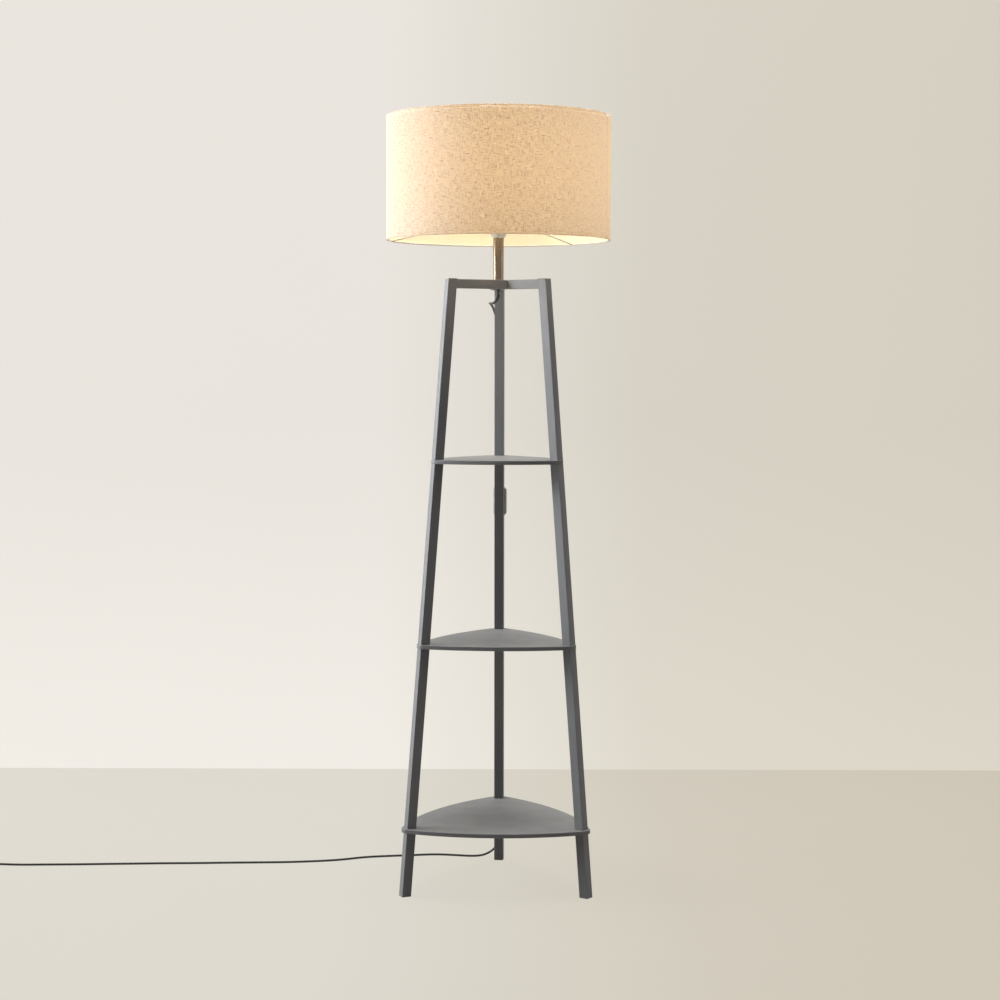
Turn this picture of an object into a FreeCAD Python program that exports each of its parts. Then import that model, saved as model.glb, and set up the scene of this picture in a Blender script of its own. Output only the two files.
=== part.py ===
"""A floor lamp on three leaning legs that carry three shelves and a drum shade.

Millimetres, +Z up. The origin is on the floor, on the lamp's axis. The back leg stands
on +Y, the left and right legs stand towards -Y.
"""

import FreeCAD, Part
import math
import os

import Sketcher
from FreeCAD import Placement, Rotation, Vector

# ---------------------------------------------------------------- driving dimensions
SIZES = {
    # legs: square bars in four lengths, with a shelf clamped at each joint
    "leg_side": 19.0,
    "leg_foot_radius": 208.3,
    "leg_lean": 102.0,
    "foot_height": 128.0,
    "tier_height": 358.8,
    "leg_edge_round": 0.8,
    # shelves: bowed triangles with rounded corners
    "shelf_thickness": 8.0,
    "shelf_corner_radius": 20.0,
    "shelf_edge_round": 1.0,
    "bottom_overhang": 7.2,
    "middle_overhang": 3.6,
    "top_overhang": 2.6,
    "bottom_bow": 50.5,
    "middle_bow": 36.5,
    "top_bow": 39.0,
    # studs that join the leg lengths through the shelves
    "stud_diameter": 6.0,
    "stud_reach": 18.0,
    "stud_clearance": 0.5,
    # top bars: a pinwheel about the axis
    "bar_height": 18.0,
    "bar_drop": 1.2,
    "dowel_diameter": 8.0,
    "dowel_in_leg": 6.0,
    "dowel_in_bar": 20.0,
    "dowel_clearance": 0.2,
    # stem and the hollow threaded rod that clamps it
    "stem_diameter": 21.0,
    "stem_wall": 1.0,
    "stem_length": 83.8,
    "rod_diameter": 10.0,
    "rod_bore": 7.0,
    "rod_clearance": 0.3,
    "ring_thickness": 2.0,
    "ring_clearance": 0.2,
    "nut_across_flats": 14.0,
    "nut_height": 3.5,
    "washer_diameter": 20.0,
    "washer_thickness": 1.2,
    "recess_depth": 6.0,
    "recess_clearance": 0.6,
    # lampholder
    "holder_neck_diameter": 25.0,
    "holder_diameter": 32.0,
    "holder_wall": 2.0,
    "holder_floor": 6.0,
    "holder_shoulder": 1.5,
    "holder_cone_height": 7.0,
    "holder_skirt_height": 25.0,
    "holder_body_height": 33.0,
    "holder_flange_diameter": 46.0,
    "holder_flange_thickness": 3.0,
    "holder_flange_level": 12.0,
    "holder_thread_diameter": 39.4,
    "locking_screw_diameter": 3.4,
    "locking_screw_length": 5.0,
    "locking_screw_angle": -18.0,
    "locking_screw_rise": 3.3,
    "thread_gap": 0.05,
    "rod_in_holder": 11.0,
    "block_height": 9.0,
    "block_clearance": 0.3,
    "shell_diameter": 29.0,
    "shell_wall": 0.5,
    "shell_hole_diameter": 10.5,
    "shell_below_rim": 4.0,
    "contact_height": 3.0,
    "contact_diameter": 8.0,
    "contact_tip_diameter": 4.0,
    "clamp_ring_diameter": 54.0,
    "clamp_ring_height": 8.0,
    "clamp_ring_clearance": 0.2,
    "clamp_lip_height": 2.0,
    "clamp_slope_height": 1.5,
    # bulb
    "bulb_diameter": 60.0,
    "bulb_cap_diameter": 26.4,
    "bulb_cap_height": 24.0,
    "bulb_cap_wall": 1.2,
    "bulb_cap_floor": 6.0,
    "bulb_tip_gap": 0.1,
    "bulb_tip_diameter": 9.0,
    "bulb_tip_height": 5.0,
    "bulb_glass_height": 84.0,
    "bulb_glass_wall": 1.0,
    "bulb_neck_gap": 1.5,
    "bulb_neck_in_cap": 8.0,
    "bulb_neck_rise": 2.0,
    "bulb_flare_bow": 1.2,
    # shade
    "shade_diameter": 450.0,
    "shade_height": 244.4,
    "shade_drop": 5.2,
    "fabric_thickness": 0.9,
    "liner_thickness": 0.5,
    "hem_height": 9.0,
    "hem_thickness": 0.5,
    "cloth_gap": 0.05,
    "ring_wire_diameter": 3.2,
    "ring_gap": 0.1,
    "ring_from_rim": 0.2,
    "spoke_diameter": 3.0,
    "spoke_turn": 47.7,
    "spoke_in_fitter": 1.2,
    "spoke_weld": 0.4,
    "fitter_outer_diameter": 53.0,
    "fitter_thickness": 2.0,
    "fitter_clearance": 0.4,
    # cord
    "cord_diameter": 4.5,
    "cord_clearance": 0.3,
    "bushing_diameter": 7.6,
    "bushing_chamfer": 0.8,
    "bushing_gap": 0.1,
    "bushing_height": 4.6,
    "bushing_spigot": 7.0,
    "sleeve_gap": 6.0,
    "sleeve_length": 24.0,
    "sleeve_top_diameter": 8.0,
    "sleeve_end_diameter": 5.4,
    "sleeve_clearance": 0.1,
    # what holds the cord to the back leg
    "clip_pad_thickness": 0.8,
    "clip_base_thickness": 3.0,
    "clip_width": 12.0,
    "clip_length": 9.0,
    "clip_wall": 1.4,
    "clip_mouth": 1.6,
    # in-line switch
    "switch_below_shelf": 89.6,
    "switch_length": 64.6,
    "switch_width": 27.0,
    "switch_rear_depth": 9.0,
    "switch_seat_gap": 0.3,
    "switch_end_chamfer": 7.0,
    "switch_wall": 2.0,
    "switch_edge_round": 1.6,
    "switch_cord_inset": 9.0,
    "rocker_width": 12.0,
    "rocker_length": 19.6,
    "rocker_gap": 0.5,
    "rocker_swing": 16.0,
    "rocker_rise": 0.9,
    "rocker_crown": 1.4,
    "rocker_depth": 4.6,
    "rocker_keel": 0.8,
    "rocker_end_depth": 3.2,
    "pivot_diameter": 2.4,
    "pivot_length": 2.0,
    "pivot_clearance": 0.05,
    "pivot_inset": 2.4,
    "pivot_end_gap": 0.3,
    "cheek_half_length": 3.0,
    "cheek_depth": 3.0,
    "switch_screw_diameter": 2.6,
    "switch_screw_length": 9.0,
    "switch_screw_head": 5.0,
    "switch_screw_head_height": 1.7,
    "switch_screw_clearance": 0.2,
    "screw_head_recess": 2.2,
    "screw_boss_wall": 0.6,
    "screw_boss_inset": 3.2,
    "switch_cord_clearance": 0.15,
    "switch_screw_spacing": 44.0,
    "contact_strip_width": 3.4,
    "contact_strip_length": 20.0,
    "contact_strip_height": 0.8,
    "contact_strip_spacing": 8.4,
    "contact_post_length": 3.0,
    "contact_post_height": 4.4,
    "contact_post_offset": 7.0,
    # wound cord, its tie and the plug
    "coil_outer_radius": 30.0,
    "coil_turn_step": 5.0,
    "coil_layer_step": 5.0,
    "coil_lift": 1.4,
    "coil_lead_out": 15.0,
    "tie_thickness": 0.9,
    "tie_width": 8.0,
    "tie_clearance": 0.5,
    "plug_width": 35.0,
    "plug_depth": 16.4,
    "plug_length": 33.0,
    "plug_nose_width": 26.0,
    "plug_edge_round": 3.0,
    "plug_cheek": 3.0,
    "plug_relief_length": 24.0,
    "plug_relief_diameter": 11.0,
    "relief_wall": 0.9,
    "relief_slot_width": 1.4,
    "relief_slot_depth": 0.7,
    "pin_diameter": 4.0,
    "pin_length": 19.0,
    "pin_spacing": 19.0,
}

LEG_ANGLES = {"left": 210.0, "right": 330.0, "back": 90.0}
TIERS = ("foot", "lower_leg", "middle_leg", "upper_leg")
SHELVES = ("bottom", "middle", "top")
# how far each clip lies under the sleeve on the cord, and over or under a shelf's underside
CLIPS_UNDER_SLEEVE = (130.6, 198.6)
CLIPS_AT_SHELVES = ((2, -33.6), (2, -145.6), (1, 105.2), (1, -74.8), (0, 112.0), (0, -66.0))
FLARE_ANGLE = 28.0
RELIEF_RIBS = 5
COIL_CLIMB_START = 2.0
COIL_TURNS = 4.25
TIE_ANGLE = 300.0

doc = FreeCAD.newDocument("shelf_floor_lamp")
sheet = doc.addObject("Spreadsheet::Sheet", "sizes")
for row, (alias, value) in enumerate(SIZES.items(), start=1):
    sheet.set(f"A{row}", alias)
    sheet.set(f"B{row}", str(value))
    sheet.setAlias(f"B{row}", alias)
doc.recompute()


def size(alias):
    """A driving dimension, as the spreadsheet holds it."""
    return float(sheet.get(alias))


def cell(formula):
    """A formula with each size's name made a reference to the spreadsheet."""
    words = formula.replace("(", " ( ").replace(")", " ) ").split()
    linked = " ".join(f"sizes.{word}" if word in SIZES else word for word in words)
    return linked.replace("sqrt (", "sqrt(")


# ---------------------------------------------------------------- levels and places
LEG_TOP = "( foot_height + 3 * shelf_thickness + 3 * tier_height )"
BAR_TOP = f"( {LEG_TOP} - bar_drop )"
BAR_BOTTOM = f"( {LEG_TOP} - bar_drop - bar_height )"
HOLDER_BOTTOM = f"( {BAR_TOP} + stem_length )"
HOLDER_SPLIT = f"( {HOLDER_BOTTOM} + holder_skirt_height )"
FLANGE_TOP = f"( {HOLDER_SPLIT} + holder_flange_level + holder_flange_thickness )"
SHADE_BOTTOM = f"( {HOLDER_BOTTOM} - shade_drop )"

foot_height = size("foot_height")
shelf_thickness = size("shelf_thickness")
tier_height = size("tier_height")
leg_side = size("leg_side")
leg_top = foot_height + 3 * (shelf_thickness + tier_height)
bar_top = leg_top - size("bar_drop")
bar_bottom = bar_top - size("bar_height")
holder_bottom = bar_top + size("stem_length")
holder_split = holder_bottom + size("holder_skirt_height")
flange_top = holder_split + size("holder_flange_level") + size("holder_flange_thickness")
shade_bottom = holder_bottom - size("shade_drop")
leg_top_radius = size("leg_foot_radius") - size("leg_lean")
bar_turn = math.degrees(math.asin(leg_side / 2 / leg_top_radius))
cord_radius = size("cord_diameter") / 2


def tier_top(tier):
    """The level of the upper end of a leg length: 0 is the foot."""
    return foot_height + tier * (shelf_thickness + tier_height)


def leg_radius(level):
    """How far a leg's middle stands from the lamp's axis at a level."""
    return size("leg_foot_radius") - size("leg_lean") * level / leg_top


def radius_formula(level):
    """The same distance as a formula, for a level given as a formula."""
    return f"( leg_foot_radius - leg_lean * ( {level} ) / {LEG_TOP} )"


def tier_levels(tier):
    """The two end levels of a leg length, as formulas."""
    if tier == 0:
        return "0", "foot_height"
    low = f"( foot_height + {tier} * shelf_thickness + {tier - 1} * tier_height )"
    return low, f"( {low} + tier_height )"


# ---------------------------------------------------------------- drawing helpers
def new_body(name):
    """A body whose label names the piece."""
    body = doc.addObject("PartDesign::Body", name)
    body.Label = name
    return body


def sketch_in(body, name, role="XY_Plane", level="0"):
    """A sketch on one of the body's own planes, lifted off it by a formula."""
    sketch = body.newObject("Sketcher::SketchObject", name)
    plane = [item for item in body.Origin.OriginFeatures if item.Role == role][0]
    sketch.AttachmentSupport = [(plane, "")]
    sketch.MapMode = "FlatFace"
    sketch.setExpression(".AttachmentOffset.Base.z", cell(level))
    return sketch


def bind(sketch, kind, where, formula, first=1.0):
    """A sketch dimension that follows a formula, drawn at a first value."""
    index = sketch.addConstraint(Sketcher.Constraint(kind, *where, first))
    sketch.setExpression(f"Constraints[{index}]", cell(formula))


def polygon(sketch, corners):
    """A closed outline of straight lines through corners given as formulas."""
    count = len(corners)
    first = sketch.GeometryCount
    for index in range(count):
        start = 2 * math.pi * index / count
        end = 2 * math.pi * (index + 1) / count
        line = Part.LineSegment(
            Vector(20 * math.cos(start), 20 * math.sin(start), 0),
            Vector(20 * math.cos(end), 20 * math.sin(end), 0),
        )
        sketch.addGeometry(line, False)
    for index in range(count):
        after = first + (index + 1) % count
        sketch.addConstraint(Sketcher.Constraint("Coincident", first + index, 2, after, 1))
    for index, (across, along) in enumerate(corners):
        bind(sketch, "DistanceX", (-1, 1, first + index, 1), across)
        bind(sketch, "DistanceY", (-1, 1, first + index, 1), along)


def rectangle(sketch, left, right, low, high):
    """An upright rectangle between four formulas."""
    polygon(sketch, [(left, low), (right, low), (right, high), (left, high)])


def circle(sketch, across, along, diameter):
    """A circle whose centre and diameter are formulas."""
    index = sketch.addGeometry(Part.Circle(Vector(1, 1, 0), Vector(0, 0, 1), 2), False)
    bind(sketch, "Diameter", (index,), diameter)
    bind(sketch, "DistanceX", (-1, 1, index, 3), across)
    bind(sketch, "DistanceY", (-1, 1, index, 3), along)


def pad(body, sketch, length, name="pad"):
    """Material added from a sketch along its normal."""
    feature = body.newObject("PartDesign::Pad", name)
    feature.Profile = sketch
    feature.setExpression("Length", cell(length))
    sketch.Visibility = False
    return feature


def pocket(body, sketch, length, upwards=False, name="pocket"):
    """Material cut from a sketch against its normal, or along it."""
    before = doc_volume(body)
    feature = body.newObject("PartDesign::Pocket", name)
    feature.Profile = sketch
    feature.setExpression("Length", cell(length))
    feature.Reversed = upwards
    after = doc_volume(body)
    if not before / 50 < after < before - 1e-6:
        raise RuntimeError(f"{body.Label}: {name} leaves {after:.1f} of {before:.1f} cubic mm")
    return feature


def doc_volume(body):
    """The body's volume after everything is brought up to date."""
    doc.recompute()
    return body.Shape.Volume


def turned(name, profile):
    """A piece turned on a lathe: its half profile is (radius, level) formulas."""
    body = new_body(name)
    sketch = sketch_in(body, f"{name}_profile", "XZ_Plane")
    polygon(sketch, profile)
    feature = body.newObject("PartDesign::Revolution", f"{name}_turn")
    feature.Profile = sketch
    feature.ReferenceAxis = (sketch, ["V_Axis"])
    feature.Angle = 360
    return body


def round_edges(body, chosen, radius, name="rounding"):
    """A fillet on the edges of the body's tip for which chosen(edge) is true."""
    doc.recompute()
    tip = body.Tip
    names = [f"Edge{number}" for number, edge in enumerate(tip.Shape.Edges, start=1) if chosen(edge)]
    if not names:
        raise RuntimeError(f"{body.Label}: no edge to round")
    feature = body.newObject("PartDesign::Fillet", name)
    feature.Base = (tip, names)
    feature.setExpression("Radius", cell(radius))
    return feature


def about_axis(angle):
    """A place turned about the lamp's axis."""
    return Placement(Vector(), Rotation(Vector(0, 0, 1), angle))


def feature_of(name, shape, place=None):
    """A piece whose shape is made directly from the sizes."""
    piece = doc.addObject("Part::Feature", name)
    piece.Label = name
    piece.Shape = shape
    if place is not None:
        piece.Placement = place
    return piece


# ---------------------------------------------------------------- legs
def leg_middle(level):
    """Formulas for a leg's middle at a level, seen along its own bar's direction."""
    top = "( leg_foot_radius - leg_lean )"
    here = radius_formula(level)
    across = f"{here} * sqrt ( 1 - ( leg_side / 2 / {top} ) ^ 2 )"
    aside = f"{here} * leg_side / 2 / {top}"
    return across, aside


def leg_section(body, name, level):
    """The leg's square section at a level."""
    across, aside = leg_middle(level)
    sketch = sketch_in(body, name, level=level)
    rectangle(
        sketch,
        f"{across} - leg_side / 2",
        f"{across} + leg_side / 2",
        f"{aside} - leg_side / 2",
        f"{aside} + leg_side / 2",
    )
    return sketch


def leaning_pad(body, sketch, length, name):
    """A pad that leans towards the axis as the legs do, with level ends."""
    feature = pad(body, sketch, length, name)
    feature.UseCustomVector = True
    feature.AlongSketchNormal = True
    top = "( leg_foot_radius - leg_lean )"
    feature.setExpression("Direction.x", cell(f"0 - leg_lean * sqrt ( 1 - ( leg_side / 2 / {top} ) ^ 2 )"))
    feature.setExpression("Direction.y", cell(f"0 - leg_lean * leg_side / 2 / {top}"))
    feature.setExpression("Direction.z", cell(LEG_TOP))
    return feature


def make_leg_length(side, tier):
    """One length of a leg, with a stud hole at each end that meets a shelf."""
    name = f"{side}_{TIERS[tier]}"
    low, high = tier_levels(tier)
    body = new_body(name)
    section = leg_section(body, f"{name}_section", low)
    leaning_pad(body, section, f"{high} - {low}", f"{name}_pad")
    round_edges(body, lambda edge: edge.Length > leg_side * 1.5, "leg_edge_round", f"{name}_rounding")
    ends = []
    if tier > 0:
        ends.append(("low_hole", low, True))
    if tier < len(TIERS) - 1:
        ends.append(("high_hole", high, False))
    for label, level, upwards in ends:
        sketch = sketch_in(body, f"{name}_{label}", level=level)
        across, aside = leg_middle(level)
        circle(sketch, across, aside, "stud_diameter + 2 * stud_clearance")
        pocket(body, sketch, "stud_reach + stud_clearance", upwards, f"{name}_{label}_cut")
    if tier == len(TIERS) - 1:
        cut_dowel_hole(body, name, True)
    body.Placement = about_axis(LEG_ANGLES[side] - bar_turn)
    return body


def dowel_level():
    """The level of the dowels, in the middle of the bars' height."""
    return f"( {BAR_BOTTOM} + bar_height / 2 )"


def cut_dowel_hole(body, name, in_leg):
    """A round hole along the bar for its dowel, in the leg or in the bar."""
    start = "( 0 - 1 )" if in_leg else "1"
    face = f"( {leg_middle(dowel_level())[0]} - leg_side / 2 + {start} )"
    sketch = sketch_in(body, f"{name}_dowel", "YZ_Plane", level=face)
    circle(sketch, "leg_side / 2", dowel_level(), "dowel_diameter + 2 * dowel_clearance")
    reach = "dowel_in_leg" if in_leg else "dowel_in_bar"
    pocket(body, sketch, f"1 + {reach} + dowel_clearance", in_leg, f"{name}_dowel_cut")


for side_name in LEG_ANGLES:
    for tier_number in range(len(TIERS)):
        make_leg_length(side_name, tier_number)


# ---------------------------------------------------------------- shelves
def make_shelf(name, number):
    """A bowed triangle with rounded corners and a stud hole at each leg."""
    level = f"( foot_height + {number} * ( shelf_thickness + tier_height ) )"
    middle = radius_formula(f"{level} + shelf_thickness / 2")
    body = new_body(f"{name}_shelf")
    sketch = sketch_in(body, f"{name}_outline", level=level)
    corner = size("shelf_corner_radius")
    at_leg = leg_radius(tier_top(number) + shelf_thickness / 2)
    reach = at_leg + leg_side / 2 + size(f"{name}_overhang")
    inset = reach - corner
    side_reach = at_leg / 2 + size(f"{name}_bow")
    deep = side_reach - corner
    behind = (inset**2 - deep**2) / (2 * deep - inset)
    sweep = behind + side_reach
    corners = [90.0, 210.0, 330.0]
    for index, angle in enumerate(corners):
        after = corners[(index + 1) % 3]
        here = inset * direction(angle)
        there = inset * direction(after)
        centre = -behind * direction(angle + 60)
        start = bearing(here - centre)
        end = bearing(there - centre)
        end += 360 if end < start else 0
        next_centre = -behind * direction(after + 60)
        turn_end = bearing(there - next_centre)
        turn_end += 360 if turn_end < end else 0
        add_arc(sketch, centre, sweep, start, end)
        add_arc(sketch, there, corner, end, turn_end)
    for index in range(6):
        sketch.addConstraint(Sketcher.Constraint("Tangent", index, 2, (index + 1) % 6, 1))
    reach_formula = f"( {middle} + leg_side / 2 + {name}_overhang - shelf_corner_radius )"
    for index, angle in ((1, 210.0), (3, 330.0), (5, 90.0)):
        across = round(math.cos(math.radians(angle)), 12)
        along = round(math.sin(math.radians(angle)), 12)
        bind(sketch, "DistanceX", (-1, 1, index, 3), f"{reach_formula} * {across}", inset * across)
        bind(sketch, "DistanceY", (-1, 1, index, 3), f"{reach_formula} * {along}", inset * along)
        bind(sketch, "Radius", (index,), "shelf_corner_radius", corner)
    deep_formula = f"( {middle} / 2 + {name}_bow - shelf_corner_radius )"
    behind_formula = (
        f"( ( {reach_formula} ^ 2 - {deep_formula} ^ 2 ) / ( 2 * {deep_formula} - {reach_formula} ) )"
    )
    for index in (0, 2, 4):
        sweep_formula = f"{behind_formula} + {deep_formula} + shelf_corner_radius"
        bind(sketch, "Radius", (index,), sweep_formula, sweep)
    pad(body, sketch, "shelf_thickness", f"{name}_pad")
    holes = sketch_in(body, f"{name}_holes", level=f"{level} + shelf_thickness")
    for angle in corners:
        across = round(math.cos(math.radians(angle)), 12)
        along = round(math.sin(math.radians(angle)), 12)
        circle(
            holes,
            f"{middle} * {across}",
            f"{middle} * {along}",
            "stud_diameter + 2 * stud_clearance",
        )
    pocket(body, holes, "shelf_thickness", False, f"{name}_holes_cut")
    round_edges(
        body, lambda edge: edge.Length > 4 * corner or abs(radius_of(edge) - corner) < 1e-6,
        "shelf_edge_round", f"{name}_rounding",
    )
    return body


def direction(angle):
    """The level unit vector at an angle from +X."""
    return Vector(math.cos(math.radians(angle)), math.sin(math.radians(angle)), 0)


def bearing(vector):
    """The angle of a level vector from +X."""
    return math.degrees(math.atan2(vector.y, vector.x))


def radius_of(edge):
    """The radius of a round edge that lies level, or 0."""
    curve = edge.Curve
    return curve.Radius if isinstance(curve, Part.Circle) and abs(curve.Axis.z) > 0.5 else 0.0


def add_arc(sketch, centre, radius, start, end):
    """An arc of a circle between two angles, anticlockwise."""
    whole = Part.Circle(centre, Vector(0, 0, 1), radius)
    sketch.addGeometry(Part.ArcOfCircle(whole, math.radians(start), math.radians(end)), False)


for shelf_number, shelf_name in enumerate(SHELVES):
    make_shelf(shelf_name, shelf_number)


def make_studs(name, number):
    """The three studs that clamp one shelf between the leg lengths."""
    low = tier_top(number) - size("stud_reach")
    length = shelf_thickness + 2 * size("stud_reach")
    shelf_level = tier_top(number) + shelf_thickness / 2
    studs = []
    for angle in LEG_ANGLES.values():
        foot = leg_radius(shelf_level) * direction(angle)
        studs.append(Part.makeCylinder(size("stud_diameter") / 2, length, foot + Vector(0, 0, low)))
    return feature_of(f"{name}_shelf_studs", Part.makeCompound(studs))


for shelf_number, shelf_name in enumerate(SHELVES):
    make_studs(shelf_name, shelf_number)


# ---------------------------------------------------------------- top bars
def make_bar(side):
    """A bar from a leg's inner face to the crossing, where it butts on the next bar."""
    name = f"{side}_top_bar"
    body = new_body(name)
    sketch = sketch_in(body, f"{name}_side", "XZ_Plane", level="( 0 - leg_side )")
    inner_end = "( 0 - leg_side )"
    polygon(
        sketch,
        [
            (inner_end, BAR_BOTTOM),
            (f"{leg_middle(BAR_BOTTOM)[0]} - leg_side / 2", BAR_BOTTOM),
            (f"{leg_middle(BAR_TOP)[0]} - leg_side / 2", BAR_TOP),
            (inner_end, BAR_TOP),
        ],
    )
    pad(body, sketch, "leg_side", f"{name}_pad")
    round_edges(body, lambda edge: edge.Length > 4 * leg_side, "leg_edge_round", f"{name}_rounding")
    bevel = sketch_in(body, f"{name}_bevel", level=f"{BAR_TOP} + 1")
    lean = round(1 / math.tan(math.radians(120)), 12)
    beyond = "( 0 - 2 * leg_side )"
    polygon(
        bevel,
        [
            (f"0 - {lean}", "( 0 - 1 )"),
            (f"( leg_side + 1 ) * ( {lean} )", "leg_side + 1"),
            (beyond, "leg_side + 1"),
            (beyond, "( 0 - 1 )"),
        ],
    )
    pocket(body, bevel, "bar_height + 2", False, f"{name}_bevel_cut")
    bore = sketch_in(body, f"{name}_bore", level=BAR_TOP)
    circle(bore, "0", "0", "rod_diameter + 2 * rod_clearance")
    pocket(body, bore, "bar_height", False, f"{name}_bore_cut")
    recess = sketch_in(body, f"{name}_recess", level=BAR_BOTTOM)
    circle(recess, "0", "0", "washer_diameter + 2 * recess_clearance")
    pocket(body, recess, "recess_depth", True, f"{name}_recess_cut")
    cut_dowel_hole(body, name, False)
    body.Placement = about_axis(LEG_ANGLES[side] - bar_turn)
    return body


for side_name in LEG_ANGLES:
    make_bar(side_name)


def make_bar_dowels():
    """A dowel from each bar into its leg."""
    level = bar_bottom + size("bar_height") / 2
    face = leg_radius(level) * math.cos(math.radians(bar_turn)) - leg_side / 2
    length = size("dowel_in_leg") + size("dowel_in_bar")
    start = Vector(face - size("dowel_in_bar"), leg_side / 2, level)
    dowels = []
    for angle in LEG_ANGLES.values():
        dowel = Part.makeCylinder(size("dowel_diameter") / 2, length, start, Vector(1, 0, 0))
        dowel.Placement = about_axis(angle - bar_turn).multiply(dowel.Placement)
        dowels.append(dowel)
    return feature_of("bar_dowels", Part.makeCompound(dowels))


make_bar_dowels()

# ---------------------------------------------------------------- stem and its rod
STEM_BORE = "( stem_diameter / 2 - stem_wall )"
turned(
    "stem_tube",
    [
        (STEM_BORE, BAR_TOP),
        ("stem_diameter / 2", BAR_TOP),
        ("stem_diameter / 2", HOLDER_BOTTOM),
        (STEM_BORE, HOLDER_BOTTOM),
    ],
)
ROD_TOP = f"( {HOLDER_BOTTOM} + rod_in_holder )"
turned(
    "threaded_rod",
    [
        ("rod_bore / 2", BAR_BOTTOM),
        ("rod_diameter / 2", BAR_BOTTOM),
        ("rod_diameter / 2", ROD_TOP),
        ("rod_bore / 2", ROD_TOP),
    ],
)


def make_washer():
    """The washer at the top of the recess under the bars."""
    level = f"( {BAR_BOTTOM} + recess_depth )"
    bore = "( rod_diameter / 2 + rod_clearance )"
    return turned(
        "lock_washer",
        [
            (bore, f"{level} - washer_thickness"),
            ("washer_diameter / 2", f"{level} - washer_thickness"),
            ("washer_diameter / 2", level),
            (bore, level),
        ],
    )


def make_lock_nut():
    """The six-sided nut that pulls the rod down against the bars."""
    body = new_body("lock_nut")
    level = f"( {BAR_BOTTOM} + recess_depth - washer_thickness - nut_height )"
    sketch = sketch_in(body, "lock_nut_outline", level=level)
    corners = []
    for index in range(6):
        across = round(math.cos(math.radians(60 * index)) / math.cos(math.radians(30)), 12)
        along = round(math.sin(math.radians(60 * index)) / math.cos(math.radians(30)), 12)
        corners.append((f"nut_across_flats / 2 * {across}", f"nut_across_flats / 2 * {along}"))
    polygon(sketch, corners)
    pad(body, sketch, "nut_height", "lock_nut_pad")
    bore = sketch_in(body, "lock_nut_bore", level=f"{level} + nut_height")
    circle(bore, "0", "0", "rod_diameter + 2 * thread_gap")
    pocket(body, bore, "nut_height", False, "lock_nut_bore_cut")
    return body


def make_centring_rings():
    """Two discs that keep the stem in line with the rod."""
    bore = size("rod_diameter") / 2 + size("thread_gap")
    outer = size("stem_diameter") / 2 - size("stem_wall") - size("ring_clearance")
    thickness = size("ring_thickness")
    rings = []
    for level in (bar_top, holder_bottom - thickness):
        disc = Part.makeCylinder(outer, thickness, Vector(0, 0, level))
        rings.append(disc.cut(Part.makeCylinder(bore, thickness, Vector(0, 0, level))))
    return feature_of("centring_rings", Part.makeCompound(rings))


make_washer()
make_lock_nut()
make_centring_rings()

# ---------------------------------------------------------------- lampholder
HOLDER_BORE = "( holder_diameter / 2 - holder_wall )"
ROD_THREAD = "( rod_diameter / 2 + thread_gap )"


def make_holder_skirt():
    """The white lower cap that screws on the rod, with its side locking screw."""
    body = turned(
        "lampholder_skirt",
        [
            (ROD_THREAD, HOLDER_BOTTOM),
            ("holder_neck_diameter / 2", HOLDER_BOTTOM),
            ("holder_diameter / 2", f"{HOLDER_BOTTOM} + holder_cone_height"),
            ("holder_diameter / 2", HOLDER_SPLIT),
            (HOLDER_BORE, HOLDER_SPLIT),
            (HOLDER_BORE, f"{HOLDER_BOTTOM} + holder_floor"),
            (ROD_THREAD, f"{HOLDER_BOTTOM} + holder_floor"),
        ],
    )
    sketch = sketch_in(body, "locking_hole", "YZ_Plane", level="holder_diameter / 2")
    circle(sketch, "0", f"{HOLDER_BOTTOM} + locking_screw_rise", "locking_screw_diameter + 2 * thread_gap")
    pocket(body, sketch, "holder_diameter / 2 - rod_diameter / 2", False, "locking_hole_cut")
    body.Placement = about_axis(size("locking_screw_angle"))
    return body


def make_locking_screw():
    """The dark grub screw in the skirt that bears on the rod."""
    screw = doc.addObject("Part::Cylinder", "locking_screw")
    screw.Label = "locking_screw"
    screw.setExpression("Radius", cell("locking_screw_diameter / 2"))
    screw.setExpression("Height", cell("locking_screw_length"))
    level = holder_bottom + size("locking_screw_rise")
    outwards = direction(size("locking_screw_angle"))
    start = (size("rod_diameter") / 2 + size("rod_clearance")) * outwards + Vector(0, 0, level)
    screw.Placement = Placement(start, Rotation(Vector(0, 0, 1), outwards))
    return screw


def make_holder_body():
    """The white upper shell with the flange that carries the shade's fitter."""
    top = f"( {HOLDER_SPLIT} + holder_body_height )"
    flange = f"( {HOLDER_SPLIT} + holder_flange_level )"
    inside = "( shell_diameter / 2 + block_clearance )"
    return turned(
        "lampholder_body",
        [
            (inside, HOLDER_SPLIT),
            ("holder_diameter / 2", HOLDER_SPLIT),
            ("holder_diameter / 2 + holder_shoulder", flange),
            ("holder_flange_diameter / 2", flange),
            ("holder_flange_diameter / 2", FLANGE_TOP),
            ("holder_thread_diameter / 2", FLANGE_TOP),
            ("holder_thread_diameter / 2", top),
            (inside, top),
        ],
    )


def make_terminal_block():
    """The insulating disc that carries the contacts, on a ledge of the skirt."""
    outer = f"( {HOLDER_BORE} - block_clearance )"
    low = f"( {HOLDER_SPLIT} - block_height )"
    return turned(
        "terminal_block",
        [
            ("cord_diameter / 2 + cord_clearance", low),
            (outer, low),
            (outer, f"{HOLDER_SPLIT} - block_clearance"),
            ("cord_diameter / 2 + cord_clearance", f"{HOLDER_SPLIT} - block_clearance"),
        ],
    )


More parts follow.
